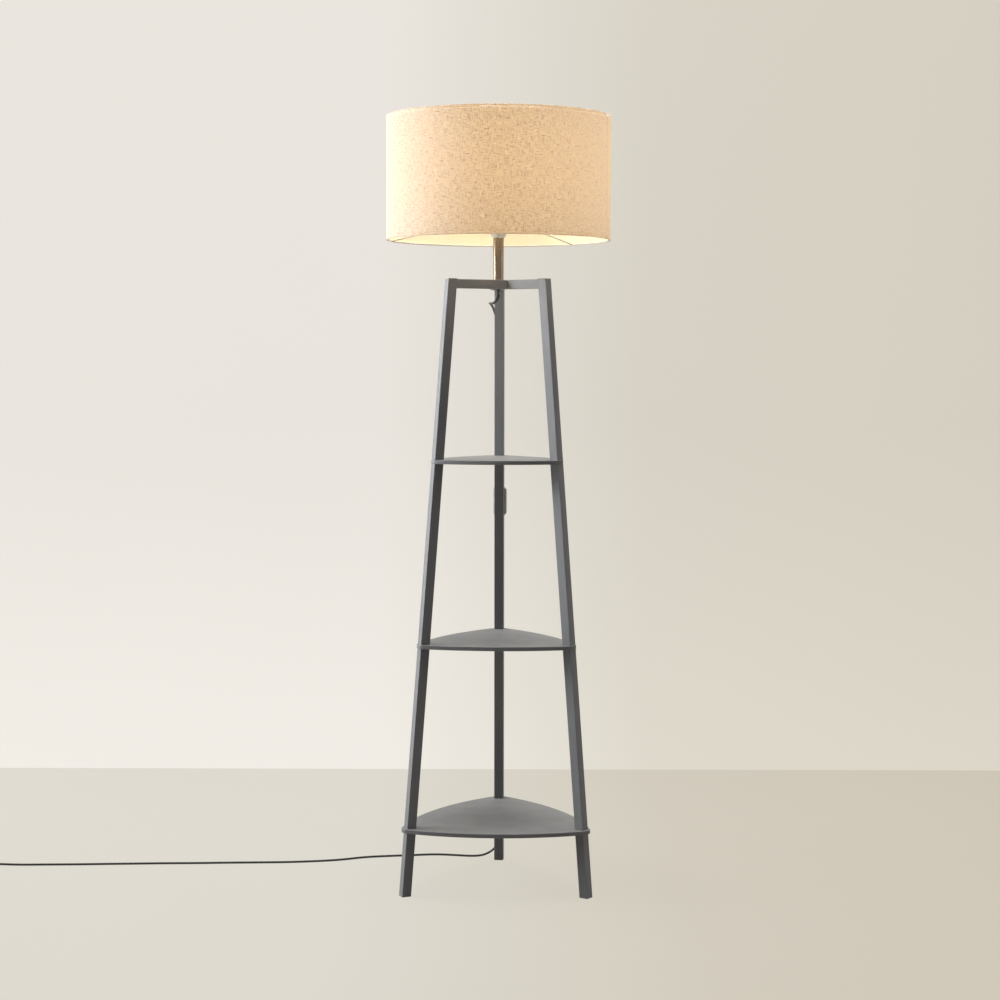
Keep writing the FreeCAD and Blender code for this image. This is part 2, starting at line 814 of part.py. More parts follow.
def make_screw_shell():
    """The threaded metal cup that the bulb turns into."""
    outer = "shell_diameter / 2"
    inner = "( shell_diameter / 2 - shell_wall )"
    top = f"( {HOLDER_SPLIT} + holder_body_height - shell_below_rim )"
    return turned(
        "screw_shell",
        [
            ("shell_hole_diameter / 2", HOLDER_SPLIT),
            (outer, HOLDER_SPLIT),
            (outer, top),
            (inner, top),
            (inner, f"{HOLDER_SPLIT} + shell_wall"),
            ("shell_hole_diameter / 2", f"{HOLDER_SPLIT} + shell_wall"),
        ],
    )


def make_centre_contact():
    """The domed brass contact under the bulb's tip."""
    low = f"( {HOLDER_SPLIT} - block_clearance )"
    return turned(
        "centre_contact",
        [
            ("0", low),
            ("contact_diameter / 2", low),
            ("contact_diameter / 2", f"{low} + contact_height / 2"),
            ("contact_tip_diameter / 2", f"{low} + contact_height"),
            ("0", f"{low} + contact_height"),
        ],
    )


def make_clamp_ring():
    """The ring that screws down on the shade's fitter."""
    low = f"( {FLANGE_TOP} + fitter_thickness )"
    inner = "( holder_thread_diameter / 2 + clamp_ring_clearance )"
    high = f"( {low} + clamp_ring_height )"
    return turned(
        "shade_clamp_ring",
        [
            (inner, low),
            ("clamp_ring_diameter / 2", low),
            ("clamp_ring_diameter / 2", f"{low} + clamp_lip_height"),
            ("holder_flange_diameter / 2", f"{low} + clamp_lip_height + clamp_slope_height"),
            ("holder_flange_diameter / 2", high),
            (inner, high),
        ],
    )


make_holder_skirt()
make_locking_screw()
make_holder_body()
make_terminal_block()
make_screw_shell()
make_centre_contact()
make_clamp_ring()

# ---------------------------------------------------------------- bulb
BULB_TIP = f"( {HOLDER_SPLIT} - block_clearance + contact_height + bulb_tip_gap )"
CAP_TOP = f"( {BULB_TIP} + bulb_cap_height )"


def make_bulb_cap():
    """The bulb's metal cap, closed below by its tip."""
    radius = "bulb_cap_diameter / 2"
    return turned(
        "bulb_cap",
        [
            ("0", BULB_TIP),
            ("bulb_tip_diameter / 2", BULB_TIP),
            (radius, f"{BULB_TIP} + bulb_tip_height"),
            (radius, CAP_TOP),
            (f"{radius} - bulb_cap_wall", CAP_TOP),
            (f"{radius} - bulb_cap_wall", f"{BULB_TIP} + bulb_cap_floor"),
            ("0", f"{BULB_TIP} + bulb_cap_floor"),
        ],
    )


def upright(angle):
    """The unit vector at an angle above +X, in the upright plane."""
    return Vector(math.cos(math.radians(angle)), 0, math.sin(math.radians(angle)))


def bulb_profile(shrink):
    """The bulb's half outline: neck, flare and globe, drawn inwards by shrink."""
    cap_top = holder_split - size("block_clearance") + size("contact_height") + size("bulb_tip_gap")
    cap_top += size("bulb_cap_height")
    neck = size("bulb_cap_diameter") / 2 - size("bulb_neck_gap") - shrink
    globe = size("bulb_diameter") / 2
    crown = cap_top + size("bulb_glass_height")
    middle = Vector(0, 0, crown - globe)
    start = Vector(neck, 0, cap_top - size("bulb_neck_in_cap"))
    shoulder = Vector(neck, 0, cap_top + size("bulb_neck_rise"))
    touch = middle + (globe - shrink) * upright(-FLARE_ANGLE)
    bow = (shoulder + touch) * 0.5 + size("bulb_flare_bow") * Vector(1, 0, -1)
    high = middle + (globe - shrink) * upright(90)
    side = middle + (globe - shrink) * upright(30)
    return start, [
        Part.LineSegment(start, shoulder).toShape(),
        Part.Arc(shoulder, bow, touch).toShape(),
        Part.Arc(touch, side, high).toShape(),
    ], high


def make_bulb_glass():
    """The bulb's thin frosted globe, open at its neck inside the cap."""
    outer_start, outer, outer_top = bulb_profile(0)
    inner_start, inner, inner_top = bulb_profile(size("bulb_glass_wall"))
    ends = [
        Part.LineSegment(outer_start, inner_start).toShape(),
        Part.LineSegment(outer_top, inner_top).toShape(),
    ]
    face = Part.Face(Part.Wire(Part.sortEdges(outer + inner + ends)[0]))
    solid = face.revolve(Vector(), Vector(0, 0, 1), 360)
    return feature_of("bulb_glass", Part.Solid(solid.Shells[0]) if not solid.Solids else solid.Solids[0])


make_bulb_cap()
make_bulb_glass()

# ---------------------------------------------------------------- shade
SHADE_TOP = f"( {SHADE_BOTTOM} + shade_height )"
FABRIC_OUT = "( shade_diameter / 2 - hem_thickness - cloth_gap )"
FABRIC_IN = f"( {FABRIC_OUT} - fabric_thickness )"
LINER_OUT = f"( {FABRIC_IN} - cloth_gap )"
LINER_IN = f"( {LINER_OUT} - liner_thickness )"
HEM_IN = "( shade_diameter / 2 - hem_thickness )"


def sleeve_ring(name, inner, outer, low, high):
    """A plain upright band between two radii and two levels."""
    return turned(name, [(inner, low), (outer, low), (outer, high), (inner, high)])


sleeve_ring("shade_fabric", FABRIC_IN, FABRIC_OUT, SHADE_BOTTOM, SHADE_TOP)
sleeve_ring("shade_liner", LINER_IN, LINER_OUT, SHADE_BOTTOM, SHADE_TOP)
sleeve_ring("shade_bottom_hem", HEM_IN, "shade_diameter / 2", SHADE_BOTTOM, f"{SHADE_BOTTOM} + hem_height")
sleeve_ring("shade_top_hem", HEM_IN, "shade_diameter / 2", f"{SHADE_TOP} - hem_height", SHADE_TOP)


def rim_ring_radius():
    """The radius of the line that a rim ring's wire follows, just inside the liner."""
    fabric = size("shade_diameter") / 2 - size("hem_thickness") - size("cloth_gap") - size("fabric_thickness")
    liner = fabric - size("cloth_gap") - size("liner_thickness")
    return liner - size("ring_gap") - size("ring_wire_diameter") / 2


def make_top_ring():
    """The wire ring inside the shade's upper rim."""
    ring = doc.addObject("Part::Torus", "shade_top_ring")
    ring.Label = "shade_top_ring"
    ring.setExpression("Radius1", cell(f"{LINER_IN} - ring_gap - ring_wire_diameter / 2"))
    ring.setExpression("Radius2", cell("ring_wire_diameter / 2"))
    ring.setExpression("Placement.Base.z", cell(f"{SHADE_TOP} - ring_wire_diameter / 2 - ring_from_rim"))
    return ring


def make_shade_carrier():
    """The lower rim ring, the fitter ring and the three spokes, welded into one piece."""
    wire = size("ring_wire_diameter") / 2
    rim_level = shade_bottom + wire + size("ring_from_rim")
    rim_radius = rim_ring_radius()
    fitter_outer = size("fitter_outer_diameter") / 2
    fitter_inner = size("holder_thread_diameter") / 2 + size("fitter_clearance")
    thickness = size("fitter_thickness")
    carrier = Part.makeTorus(rim_radius, wire, Vector(0, 0, rim_level))
    disc = Part.makeCylinder(fitter_outer, thickness, Vector(0, 0, flange_top))
    hole = Part.makeCylinder(fitter_inner, thickness, Vector(0, 0, flange_top))
    carrier = carrier.fuse(disc.cut(hole))
    inner_level = flange_top - size("spoke_diameter") / 2 + size("spoke_weld")
    for index in range(3):
        outwards = direction(size("spoke_turn") + 120 * index)
        start = (fitter_outer - size("spoke_in_fitter")) * outwards + Vector(0, 0, inner_level)
        end = rim_radius * outwards + Vector(0, 0, rim_level)
        run = end - start
        spoke = Part.makeCylinder(size("spoke_diameter") / 2, run.Length, start, run)
        carrier = carrier.fuse(spoke)
    return feature_of("shade_carrier", carrier.removeSplitter())


make_top_ring()
make_shade_carrier()


# ---------------------------------------------------------------- cord: routes and tubes
def back_leg_frame(level):
    """The place on the back leg's rear face: x across, y up the leg, z outwards."""
    turn = LEG_ANGLES["back"] - bar_turn
    outwards = direction(turn)
    upwards = Vector(0, -size("leg_lean"), leg_top).normalize()
    across = upwards.cross(outwards).normalize()
    normal = across.cross(upwards).normalize()
    middle = leg_radius(level) * direction(LEG_ANGLES["back"]) + Vector(0, 0, level)
    return Placement(middle + leg_side / 2 * normal, Rotation(across, upwards, normal, "ZXY"))


CORD_STAND_OFF = (
    size("clip_pad_thickness") + size("clip_base_thickness") + size("cord_clearance") + cord_radius
)


def behind_leg(level, stand_off=CORD_STAND_OFF):
    """A point of the cord behind the back leg."""
    return back_leg_frame(level).multVec(Vector(0, 0, stand_off))


def rounded_route(name, points):
    """A wire of straight runs joined by tangent arcs, as wide as the runs allow."""
    edges = []
    at = points[0]
    radii = []
    for before, corner, after in zip(points, points[1:], points[2:]):
        back = (before - corner).normalize()
        forth = (after - corner).normalize()
        half = (math.pi - back.getAngle(forth)) / 2
        cut = 0.45 * min((before - corner).Length, (after - corner).Length)
        radius = cut / math.tan(half)
        radii.append(radius)
        start = corner + cut * back
        end = corner + cut * forth
        inwards = (back + forth).normalize()
        middle = corner + inwards * (radius / math.cos(half) - radius)
        edges.append(Part.LineSegment(at, start).toShape())
        edges.append(Part.Arc(start, middle, end).toShape())
        at = end
    edges.append(Part.LineSegment(at, points[-1]).toShape())
    wire = Part.Wire(edges)
    listed = " ".join(f"{radius:.0f}" for radius in radii)
    print(f"{name}: {wire.Length:.0f} mm long, radii {listed} mm")
    return wire


def tube(wire, radius):
    """A round tube along a wire, checked by its volume."""
    start = wire.OrderedEdges[0]
    tangent = start.tangentAt(start.FirstParameter)
    ring = Part.Wire(Part.Circle(start.valueAt(start.FirstParameter), tangent, radius).toShape())
    shell = Part.BRepOffsetAPI.MakePipeShell(wire)
    shell.add(ring)
    shell.build()
    shell.makeSolid()
    solid = shell.shape()
    expected = math.pi * radius**2 * wire.Length
    if abs(solid.Volume / expected - 1) > 0.01:
        raise RuntimeError(f"tube volume {solid.Volume:.0f} is not {expected:.0f}")
    return solid


def tapered_sleeve(wire, begin, length, first, last, bore):
    """A sleeve along a stretch of a wire, from one outer radius to another."""
    outer = []
    inner = []
    steps = 8
    for step in range(steps + 1):
        along = begin + length * step / steps
        point, tangent = place_along(wire, along)
        share = step / steps
        outer.append(Part.Wire(Part.Circle(point, tangent, first + (last - first) * share).toShape()))
        inner.append(Part.Wire(Part.Circle(point, tangent, bore).toShape()))
    return Part.makeLoft(outer, True, True).cut(Part.makeLoft(inner, True, True))


def place_along(wire, along):
    """The point and the direction at a length along a wire."""
    for edge in wire.OrderedEdges:
        if along <= edge.Length + 1e-9:
            parameter = edge.getParameterByLength(min(along, edge.Length))
            return edge.valueAt(parameter), edge.tangentAt(parameter)
        along -= edge.Length
    raise RuntimeError("the wire is shorter than that")


switch_half = size("switch_length") / 2
cord_into_switch = switch_half - size("switch_cord_inset")
SWITCH_FRAME = back_leg_frame(tier_top(2) - size("switch_below_shelf"))
UPPER_END = SWITCH_FRAME.multVec(Vector(0, cord_into_switch, CORD_STAND_OFF))
LOWER_START = SWITCH_FRAME.multVec(Vector(0, -cord_into_switch, CORD_STAND_OFF))
bushing_bottom = bar_bottom - size("bushing_height")
sleeve_top = bushing_bottom - size("sleeve_gap")
clip_levels = [sleeve_top - drop for drop in CLIPS_UNDER_SLEEVE]
clip_levels += [tier_top(number) + rise for number, rise in CLIPS_AT_SHELVES]
cord_top = holder_split - size("block_height") - 4

# Down the rod, out under the bars, round the left side of the back leg, down its rear face.
at_leg = leg_radius(sleeve_top)
beside_leg = -leg_side / 2
UPPER_ROUTE = [
    Vector(0, 0, cord_top),
    Vector(0, 0, sleeve_top - 1),
    Vector(-3.6, 3.7, sleeve_top - 11.8),
    Vector(-9.9, 11.4, sleeve_top - 17.4),
    Vector(-16, 22.5, sleeve_top - 17.8),
    Vector(-18.8, 37.5, sleeve_top - 16.2),
    Vector(-16.9, at_leg * 0.517, sleeve_top - 17.2),
    Vector(-14.7, at_leg * 0.716, sleeve_top - 20.6),
    Vector(beside_leg - 3.7, at_leg - 9.9, sleeve_top - 23.8),
    Vector(beside_leg - 3.5, at_leg + 6, sleeve_top - 25.4),
    Vector(beside_leg - 1, at_leg + 22.5, sleeve_top - 32.5),
    Vector(-4.9, at_leg + 27, sleeve_top - 51),
    Vector(-1, at_leg + 25.5, sleeve_top - 72),
    behind_leg(sleeve_top - 92) + Vector(0, 1, 0),
    behind_leg(sleeve_top - 113),
    UPPER_END,
]
bottom_shelf_top = tier_top(0) + shelf_thickness
shelf_stand_off = size("bottom_overhang") + cord_radius + 2.4
# Down the leg's rear face, out round the bottom shelf's corner and in again to the last clip.
LOWER_ROUTE = [
    LOWER_START,
    behind_leg(bottom_shelf_top + 50),
    behind_leg(bottom_shelf_top + 10, shelf_stand_off),
    behind_leg(tier_top(0) - 10, shelf_stand_off),
    behind_leg(tier_top(0) - 40),
    behind_leg(clip_levels[-1] - 8),
]
upper_wire = rounded_route("upper_cord", UPPER_ROUTE)
lower_wire = rounded_route("lower_cord", LOWER_ROUTE)
feature_of("upper_cord", tube(upper_wire, cord_radius))
feature_of("lower_cord", tube(lower_wire, cord_radius))

# ---------------------------------------------------------------- cord bushing and sleeve
CORD_HOLE = "( cord_diameter / 2 + cord_clearance )"
turned(
    "cord_bushing",
    [
        (CORD_HOLE, f"{BAR_BOTTOM} - bushing_height"),
        ("bushing_diameter / 2 - bushing_chamfer", f"{BAR_BOTTOM} - bushing_height"),
        ("bushing_diameter / 2", f"{BAR_BOTTOM} - bushing_height + bushing_chamfer"),
        ("bushing_diameter / 2", BAR_BOTTOM),
        ("rod_bore / 2 - bushing_gap", BAR_BOTTOM),
        ("rod_bore / 2 - bushing_gap", f"{BAR_BOTTOM} + bushing_spigot"),
        (CORD_HOLE, f"{BAR_BOTTOM} + bushing_spigot"),
    ],
)
feature_of(
    "cord_sleeve",
    tapered_sleeve(
        upper_wire,
        cord_top - sleeve_top,
        size("sleeve_length"),
        size("sleeve_top_diameter") / 2,
        size("sleeve_end_diameter") / 2,
        cord_radius + size("sleeve_clearance"),
    ),
)


# ---------------------------------------------------------------- clips on the back leg
def make_clips():
    """The clips that hold the cord behind the back leg, and their sticky pads."""
    width = size("clip_width")
    length = size("clip_length")
    pad_thickness = size("clip_pad_thickness")
    base = size("clip_base_thickness")
    bore = cord_radius + size("cord_clearance")
    outer = bore + size("clip_wall")
    clips = []
    pads = []
    for level in clip_levels:
        place = back_leg_frame(level)
        sticky = Part.makeBox(width, length, pad_thickness, Vector(-width / 2, -length / 2, 0))
        plate = Part.makeBox(width, length, base, Vector(-width / 2, -length / 2, pad_thickness))
        start = Vector(0, -length / 2, CORD_STAND_OFF)
        along = Vector(0, 1, 0)
        loop = Part.makeCylinder(outer, length, start, along)
        hole = Part.makeCylinder(bore, length + 2, start - Vector(0, 1, 0), along)
        corner = Vector(-size("clip_mouth") / 2, -length / 2 - 1, CORD_STAND_OFF)
        mouth = Part.makeBox(size("clip_mouth"), length + 2, outer + 1, corner)
        clip = plate.fuse(loop).cut(hole).cut(mouth).removeSplitter()
        for piece, shapes in ((clip, clips), (sticky, pads)):
            piece.Placement = place.multiply(piece.Placement)
            shapes.append(piece)
    feature_of("cord_clips", Part.makeCompound(clips))
    feature_of("clip_pads", Part.makeCompound(pads))


make_clips()

# ---------------------------------------------------------------- in-line switch
CORD_LEVEL = "( clip_pad_thickness + clip_base_thickness + cord_clearance + cord_diameter / 2 )"
SWITCH_TOP = f"( {CORD_LEVEL} + switch_rear_depth )"
PIVOT_LEVEL = f"( {SWITCH_TOP} - pivot_inset )"
switch_top = CORD_STAND_OFF + size("switch_rear_depth")
pivot_level = switch_top - size("pivot_inset")


def switch_outline(sketch, inset):
    """The housing's outline with its four corners cut, drawn inwards by inset."""
    wide = f"( switch_width / 2 - {inset} )"
    long = f"( switch_length / 2 - {inset} )"
    cut = f"( switch_end_chamfer - {inset} / 2 )"
    corners = []
    for across, along in ((1, 1), (-1, 1), (-1, -1), (1, -1)):
        inner = (f"( {wide} - {cut} ) * ( {across} )", f"{long} * ( {along} )")
        outer = (f"{wide} * ( {across} )", f"( {long} - {cut} ) * ( {along} )")
        corners += [outer, inner] if across == along else [inner, outer]
    polygon(sketch, corners)


def screw_bosses(sketch, diameter):
    """The two circles on the switch's middle line, where its screws stand."""
    for sign in (1, -1):
        circle(
            sketch,
            f"( switch_width / 2 - switch_wall - screw_boss_inset ) * ( {sign} )",
            f"switch_screw_spacing / 2 * ( {sign} )",
            diameter,
        )


def cord_slots(body, name):
    """The round way in for the cord at each end."""
    sketch = sketch_in(body, f"{name}_cord", "XZ_Plane", level="( 0 - switch_length / 2 - 1 )")
    circle(sketch, "0", CORD_LEVEL, "cord_diameter + 2 * switch_cord_clearance")
    pocket(body, sketch, "switch_length + 2", True, f"{name}_cord_cut")


def make_switch_front():
    """The half of the switch that lies on the leg."""
    name = "switch_front_half"
    body = new_body(name)
    outline = sketch_in(body, f"{name}_outline", level="switch_seat_gap")
    switch_outline(outline, "0")
    pad(body, outline, f"{CORD_LEVEL} - switch_seat_gap", f"{name}_pad")
    hollow = sketch_in(body, f"{name}_hollow", level=CORD_LEVEL)
    switch_outline(hollow, "switch_wall")
    pocket(body, hollow, f"{CORD_LEVEL} - switch_seat_gap - switch_wall", False, f"{name}_hollow_cut")
    posts = sketch_in(body, f"{name}_posts", level="switch_seat_gap")
    screw_bosses(posts, "switch_screw_head + 2 * screw_boss_wall")
    pad(body, posts, f"{CORD_LEVEL} - switch_seat_gap", f"{name}_posts_pad")
    heads = sketch_in(body, f"{name}_heads", level="switch_seat_gap")
    screw_bosses(heads, "switch_screw_head + 2 * switch_screw_clearance")
    pocket(body, heads, "screw_head_recess", True, f"{name}_heads_cut")
    shanks = sketch_in(body, f"{name}_shanks", level="switch_seat_gap")
    screw_bosses(shanks, "switch_screw_diameter + 2 * switch_screw_clearance")
    pocket(body, shanks, CORD_LEVEL, True, f"{name}_shanks_cut")
    cord_slots(body, name)
    body.Placement = SWITCH_FRAME
    return body


def make_switch_rear():
    """The half of the switch with the rocker's window."""
    name = "switch_rear_half"
    body = new_body(name)
    outline = sketch_in(body, f"{name}_outline", level=CORD_LEVEL)
    switch_outline(outline, "0")
    pad(body, outline, "switch_rear_depth", f"{name}_pad")
    round_edges(
        body, lambda edge: edge.CenterOfMass.z > switch_top - 0.1, "switch_edge_round",
        f"{name}_rounding",
    )
    hollow = sketch_in(body, f"{name}_hollow", level=CORD_LEVEL)
    switch_outline(hollow, "switch_wall")
    pocket(body, hollow, "switch_rear_depth - switch_wall", True, f"{name}_hollow_cut")
    posts = sketch_in(body, f"{name}_posts", level=CORD_LEVEL)
    screw_bosses(posts, "switch_screw_head + 2 * screw_boss_wall")
    pad(body, posts, "switch_rear_depth - switch_wall", f"{name}_posts_pad")
    pilots = sketch_in(body, f"{name}_pilots", level=CORD_LEVEL)
    screw_bosses(pilots, "switch_screw_diameter + switch_screw_clearance")
    pocket(body, pilots, "switch_rear_depth - switch_wall", True, f"{name}_pilots_cut")
    cheeks = sketch_in(body, f"{name}_cheeks", level=f"{PIVOT_LEVEL} - cheek_depth")
    inner = "( rocker_width / 2 + rocker_gap )"
    for sign in (1, -1):
        near = f"{inner} * ( {sign} )"
        far = f"( {inner} + pivot_length ) * ( {sign} )"
        left, right = (near, far) if sign == 1 else (far, near)
        rectangle(cheeks, left, right, "( 0 - cheek_half_length )", "cheek_half_length")
    pad(body, cheeks, "cheek_depth + pivot_inset - switch_wall / 2", f"{name}_cheeks_pad")
    window = sketch_in(body, f"{name}_window", level=SWITCH_TOP)
    rectangle(
        window,
        f"( 0 - {inner} )",
        inner,
        "( 0 - rocker_length / 2 - 2 * rocker_gap )",
        "rocker_length / 2 + 2 * rocker_gap",
    )
    pocket(body, window, "switch_wall + rocker_gap", False, f"{name}_window_cut")
    bore = sketch_in(body, f"{name}_bore", "YZ_Plane", level=f"( 0 - {inner} - pivot_length )")
    circle(bore, "0", PIVOT_LEVEL, "pivot_diameter + 2 * pivot_clearance")
    pocket(body, bore, f"2 * ( {inner} + pivot_length )", True, f"{name}_bore_cut")
    cord_slots(body, name)
    body.Placement = SWITCH_FRAME
    return body


def make_rocker():
    """The rocker with its two trunnions, tilted so that its upper end is pressed in."""
    name = "switch_rocker"
    body = new_body(name)
    sketch = sketch_in(body, f"{name}_side", "YZ_Plane", level="( 0 - rocker_width / 2 )")
    high = "( pivot_inset + rocker_rise )"
    half = "rocker_length / 2"
    polygon(
        sketch,
        [
            ("0", "( pivot_diameter / 2 + rocker_keel - rocker_depth )"),
            (half, f"{high} + rocker_crown - rocker_end_depth"),
            (half, f"{high} + rocker_crown"),
            ("0", high),
            (f"( 0 - {half} )", f"{high} + rocker_crown"),
            (f"( 0 - {half} )", f"{high} + rocker_crown - rocker_end_depth"),
        ],
    )
    pad(body, sketch, "rocker_width", f"{name}_pad")
    trunnion_half = "( rocker_width / 2 + rocker_gap + pivot_length - pivot_end_gap )"
    trunnion = sketch_in(body, f"{name}_trunnion", "YZ_Plane", level=f"( 0 - {trunnion_half} )")
    circle(trunnion, "0", "0", "pivot_diameter")
    pad(body, trunnion, f"2 * {trunnion_half}", f"{name}_trunnion_pad")
    tilt = Rotation(Vector(1, 0, 0), -size("rocker_swing") / 2)
    body.Placement = SWITCH_FRAME.multiply(Placement(Vector(0, 0, pivot_level), tilt))
    return body


def make_switch_inside():
    """The switch's screws and its brass contacts."""
    across = size("switch_width") / 2 - size("switch_wall") - size("screw_boss_inset")
    along = size("switch_screw_spacing") / 2
    seat = size("switch_seat_gap") + 0.3
    screws = []
    for sign in (1, -1):
        foot = Vector(across * sign, along * sign, seat)
        head = Part.makeCylinder(size("switch_screw_head") / 2, size("switch_screw_head_height"), foot)
        shank = Part.makeCylinder(size("switch_screw_diameter") / 2, size("switch_screw_length"), foot)
        screw = head.fuse(shank)
        screw.Placement = SWITCH_FRAME.multiply(screw.Placement)
        screws.append(screw)
    feature_of("switch_screws", Part.makeCompound(screws))
    floor_level = size("switch_seat_gap") + size("switch_wall")
    wide = size("contact_strip_width")
    long = size("contact_strip_length")
    post_long = size("contact_post_length")
    contacts = []
    for sign in (1, -1):
        left = (size("contact_strip_spacing") * sign - wide) / 2
        near = size("contact_post_offset") * sign - post_long / 2
        strip = Part.makeBox(wide, long, size("contact_strip_height"), Vector(left, -long / 2, floor_level))
        post = Part.makeBox(wide, post_long, size("contact_post_height"), Vector(left, near, floor_level))
        contact = strip.fuse(post).removeSplitter()
        contact.Placement = SWITCH_FRAME.multiply(contact.Placement)
        contacts.append(contact)
    feature_of("switch_contacts", Part.makeCompound(contacts))


make_switch_front()
make_switch_rear()
make_rocker()
make_switch_inside()

# ---------------------------------------------------------------- wound cord
coil_level = cord_radius + size("coil_lift")
COIL_ENTRY = Vector(-1112.0, 109.5, coil_level)
ENTRY_BEARING = 184.5


def coil_point(turns):
    """A point on the coil's line after some turns: in, up half a turn, and out."""
    step = size("coil_turn_step")
    reversal = COIL_CLIMB_START + 0.25
    radius = size("coil_outer_radius") - step * reversal + step * abs(turns - reversal)
    climb = min(max((turns - COIL_CLIMB_START) * 2, 0.0), 1.0)
    angle = ENTRY_BEARING - 90 + 360 * turns
    return COIL_CENTRE + radius * direction(angle) + Vector(0, 0, size("coil_layer_step") * climb)


def coil_direction(turns):
    """The direction of the coil's line after some turns."""
    step = 1e-4
    low = max(turns - step, 0.0)
    high = min(turns + step, COIL_TURNS)
    way = (coil_point(high) - coil_point(low)).normalize()
    if abs(turns - COIL_CLIMB_START) < step or abs(turns - COIL_CLIMB_START - 0.5) < step:
        way.z = 0.0
    return way.normalize()


def biarc(start, start_way, end, end_way):
    """Two arcs that leave start and reach end along the given directions."""
    span = end - start
    both = start_way + end_way
    spread = 4 - both.dot(both)
    reach = (-span.dot(both) + math.sqrt(span.dot(both) ** 2 + spread * span.dot(span))) / spread
    first = start + reach * start_way
    second = end - reach * end_way
    joint = (first + second) * 0.5
    return [arc_by_corner(start, first, joint), arc_by_corner(joint, second, end)]


def arc_by_corner(start, corner, end):
    """The arc from start to end whose end tangents meet in the corner."""
    chord_middle = (start + end) * 0.5
    half = (end - start).Length / 2
    reach = (corner - start).Length
    lift = corner - chord_middle
    radius = reach * half / lift.Length
    rise = radius - math.sqrt(radius**2 - half**2)
    return Part.Arc(start, chord_middle + lift.normalize() * rise, end).toShape()


inwards_from_entry = direction(ENTRY_BEARING + 90)
COIL_CENTRE = COIL_ENTRY + size("coil_outer_radius") * inwards_from_entry


def make_coil():
    """The unseen cord, wound in two layers, one unbroken tube."""
    quarters = int(round(COIL_TURNS * 4))
    edges = []
    lead_in = coil_point(0) - size("cord_diameter") * coil_direction(0)
    edges.append(Part.LineSegment(lead_in, coil_point(0)).toShape())
    for quarter in range(quarters):
        here, there = quarter / 4, (quarter + 1) / 4
        edges += biarc(coil_point(here), coil_direction(here), coil_point(there), coil_direction(there))
    away = coil_direction(COIL_TURNS)
    lead_out = coil_point(COIL_TURNS) + (size("coil_lead_out") + size("plug_relief_length")) * away
    edges.append(Part.LineSegment(coil_point(COIL_TURNS), lead_out).toShape())
    wire = Part.Wire(edges)
    feature_of("cord_coil", tube(wire, cord_radius))
    samples = [coil_point(COIL_TURNS * index / 600) for index in range(601)]
    apart = math.inf
    spacing = wire.Length / 600
    skip = int(4 * size("cord_diameter") / spacing)
    for index, point in enumerate(samples):
        for other in samples[index + skip:]:
            apart = min(apart, (other - point).Length)
    print(f"cord_coil: {wire.Length:.0f} mm long, gap to itself {apart - size('cord_diameter'):.2f} mm")
    return lead_in, lead_out, away


coil_start, coil_end, plug_way = make_coil()


def make_coil_tie():
    """The band that holds the wound cord together."""
    gap = size("tie_clearance")
    thick = size("tie_thickness")
    width = size("tie_width")
    turns = [(TIE_ANGLE - ENTRY_BEARING + 90) % 360 / 360 + whole for whole in range(int(COIL_TURNS) + 1)]
    radii = [
        (coil_point(turn) - COIL_CENTRE).dot(direction(TIE_ANGLE))
        for turn in turns
        if turn <= COIL_TURNS
    ]
    near = min(radii) - cord_radius - gap
    far = max(radii) + cord_radius + gap
    low = coil_level - cord_radius - gap
    high = coil_level + size("coil_layer_step") + cord_radius + gap
    outer = Part.makeBox(
        far - near + 2 * thick, width, high - low + 2 * thick, Vector(near - thick, -width / 2, low - thick)
    )
    inner = Part.makeBox(far - near, width, high - low, Vector(near, -width / 2, low))
    band = outer.cut(inner)
    edges = [edge for edge in band.Edges if abs(edge.tangentAt(edge.FirstParameter).y) > 0.9]
    outermost = [edge for edge in edges if not low < edge.CenterOfMass.z < high]
    band = band.makeFillet(thick * 0.8, outermost)
    place = Placement(Vector(COIL_CENTRE.x, COIL_CENTRE.y, 0), Rotation(Vector(0, 0, 1), TIE_ANGLE))
    return feature_of("coil_tie", band, place)


make_coil_tie()

# ---------------------------------------------------------------- cord on the floor
lie = cord_radius
at_foot = size("leg_foot_radius")
# Behind the back foot, down to the floor, then left in the long slack curve.
FLOOR_ROUTE = [
    LOWER_ROUTE[-1],
    behind_leg(clip_levels[-1] - 24),
    Vector(-7, at_foot + 19.7, 22),
    Vector(-20, at_foot + 22.2, 9.5),
    Vector(-38, at_foot + 21.7, lie),
    Vector(-62, 225, lie),
    Vector(-98, 233, lie),
    Vector(-140, 238.5, lie),
    Vector(-186, 228.5, lie),
    Vector(-236, 219.5, lie),
    Vector(-288, 208, lie),
    Vector(-338, 180.5, lie),
    Vector(-394, 166, lie),
    Vector(-452, 156.5, lie),
    Vector(-514, 151.8, lie),
    Vector(-578, 147.5, lie),
    Vector(-640, 141.5, lie),
    Vector(-704, 138.3, lie),
    Vector(-768, 132.8, lie),
    Vector(-832, 127.6, lie),
    Vector(-894, 121.6, lie),
    Vector(-956, 118.4, lie),
    Vector(-1012, 114.2, lie),
    coil_start - 44 * coil_direction(0),
    coil_start,
]
floor_wire = rounded_route("floor_cord", FLOOR_ROUTE)
feature_of("floor_cord", tube(floor_wire, cord_radius))


# ---------------------------------------------------------------- plug
def plug_frame():
    """The plug's own place: x along the plug, y across it, from the cord's end."""
    along = Vector(plug_way.x, plug_way.y, 0).normalize()
    across = Vector(0, 0, 1).cross(along)
    return Placement(coil_end, Rotation(along, across, Vector(0, 0, 1), "XYZ"))


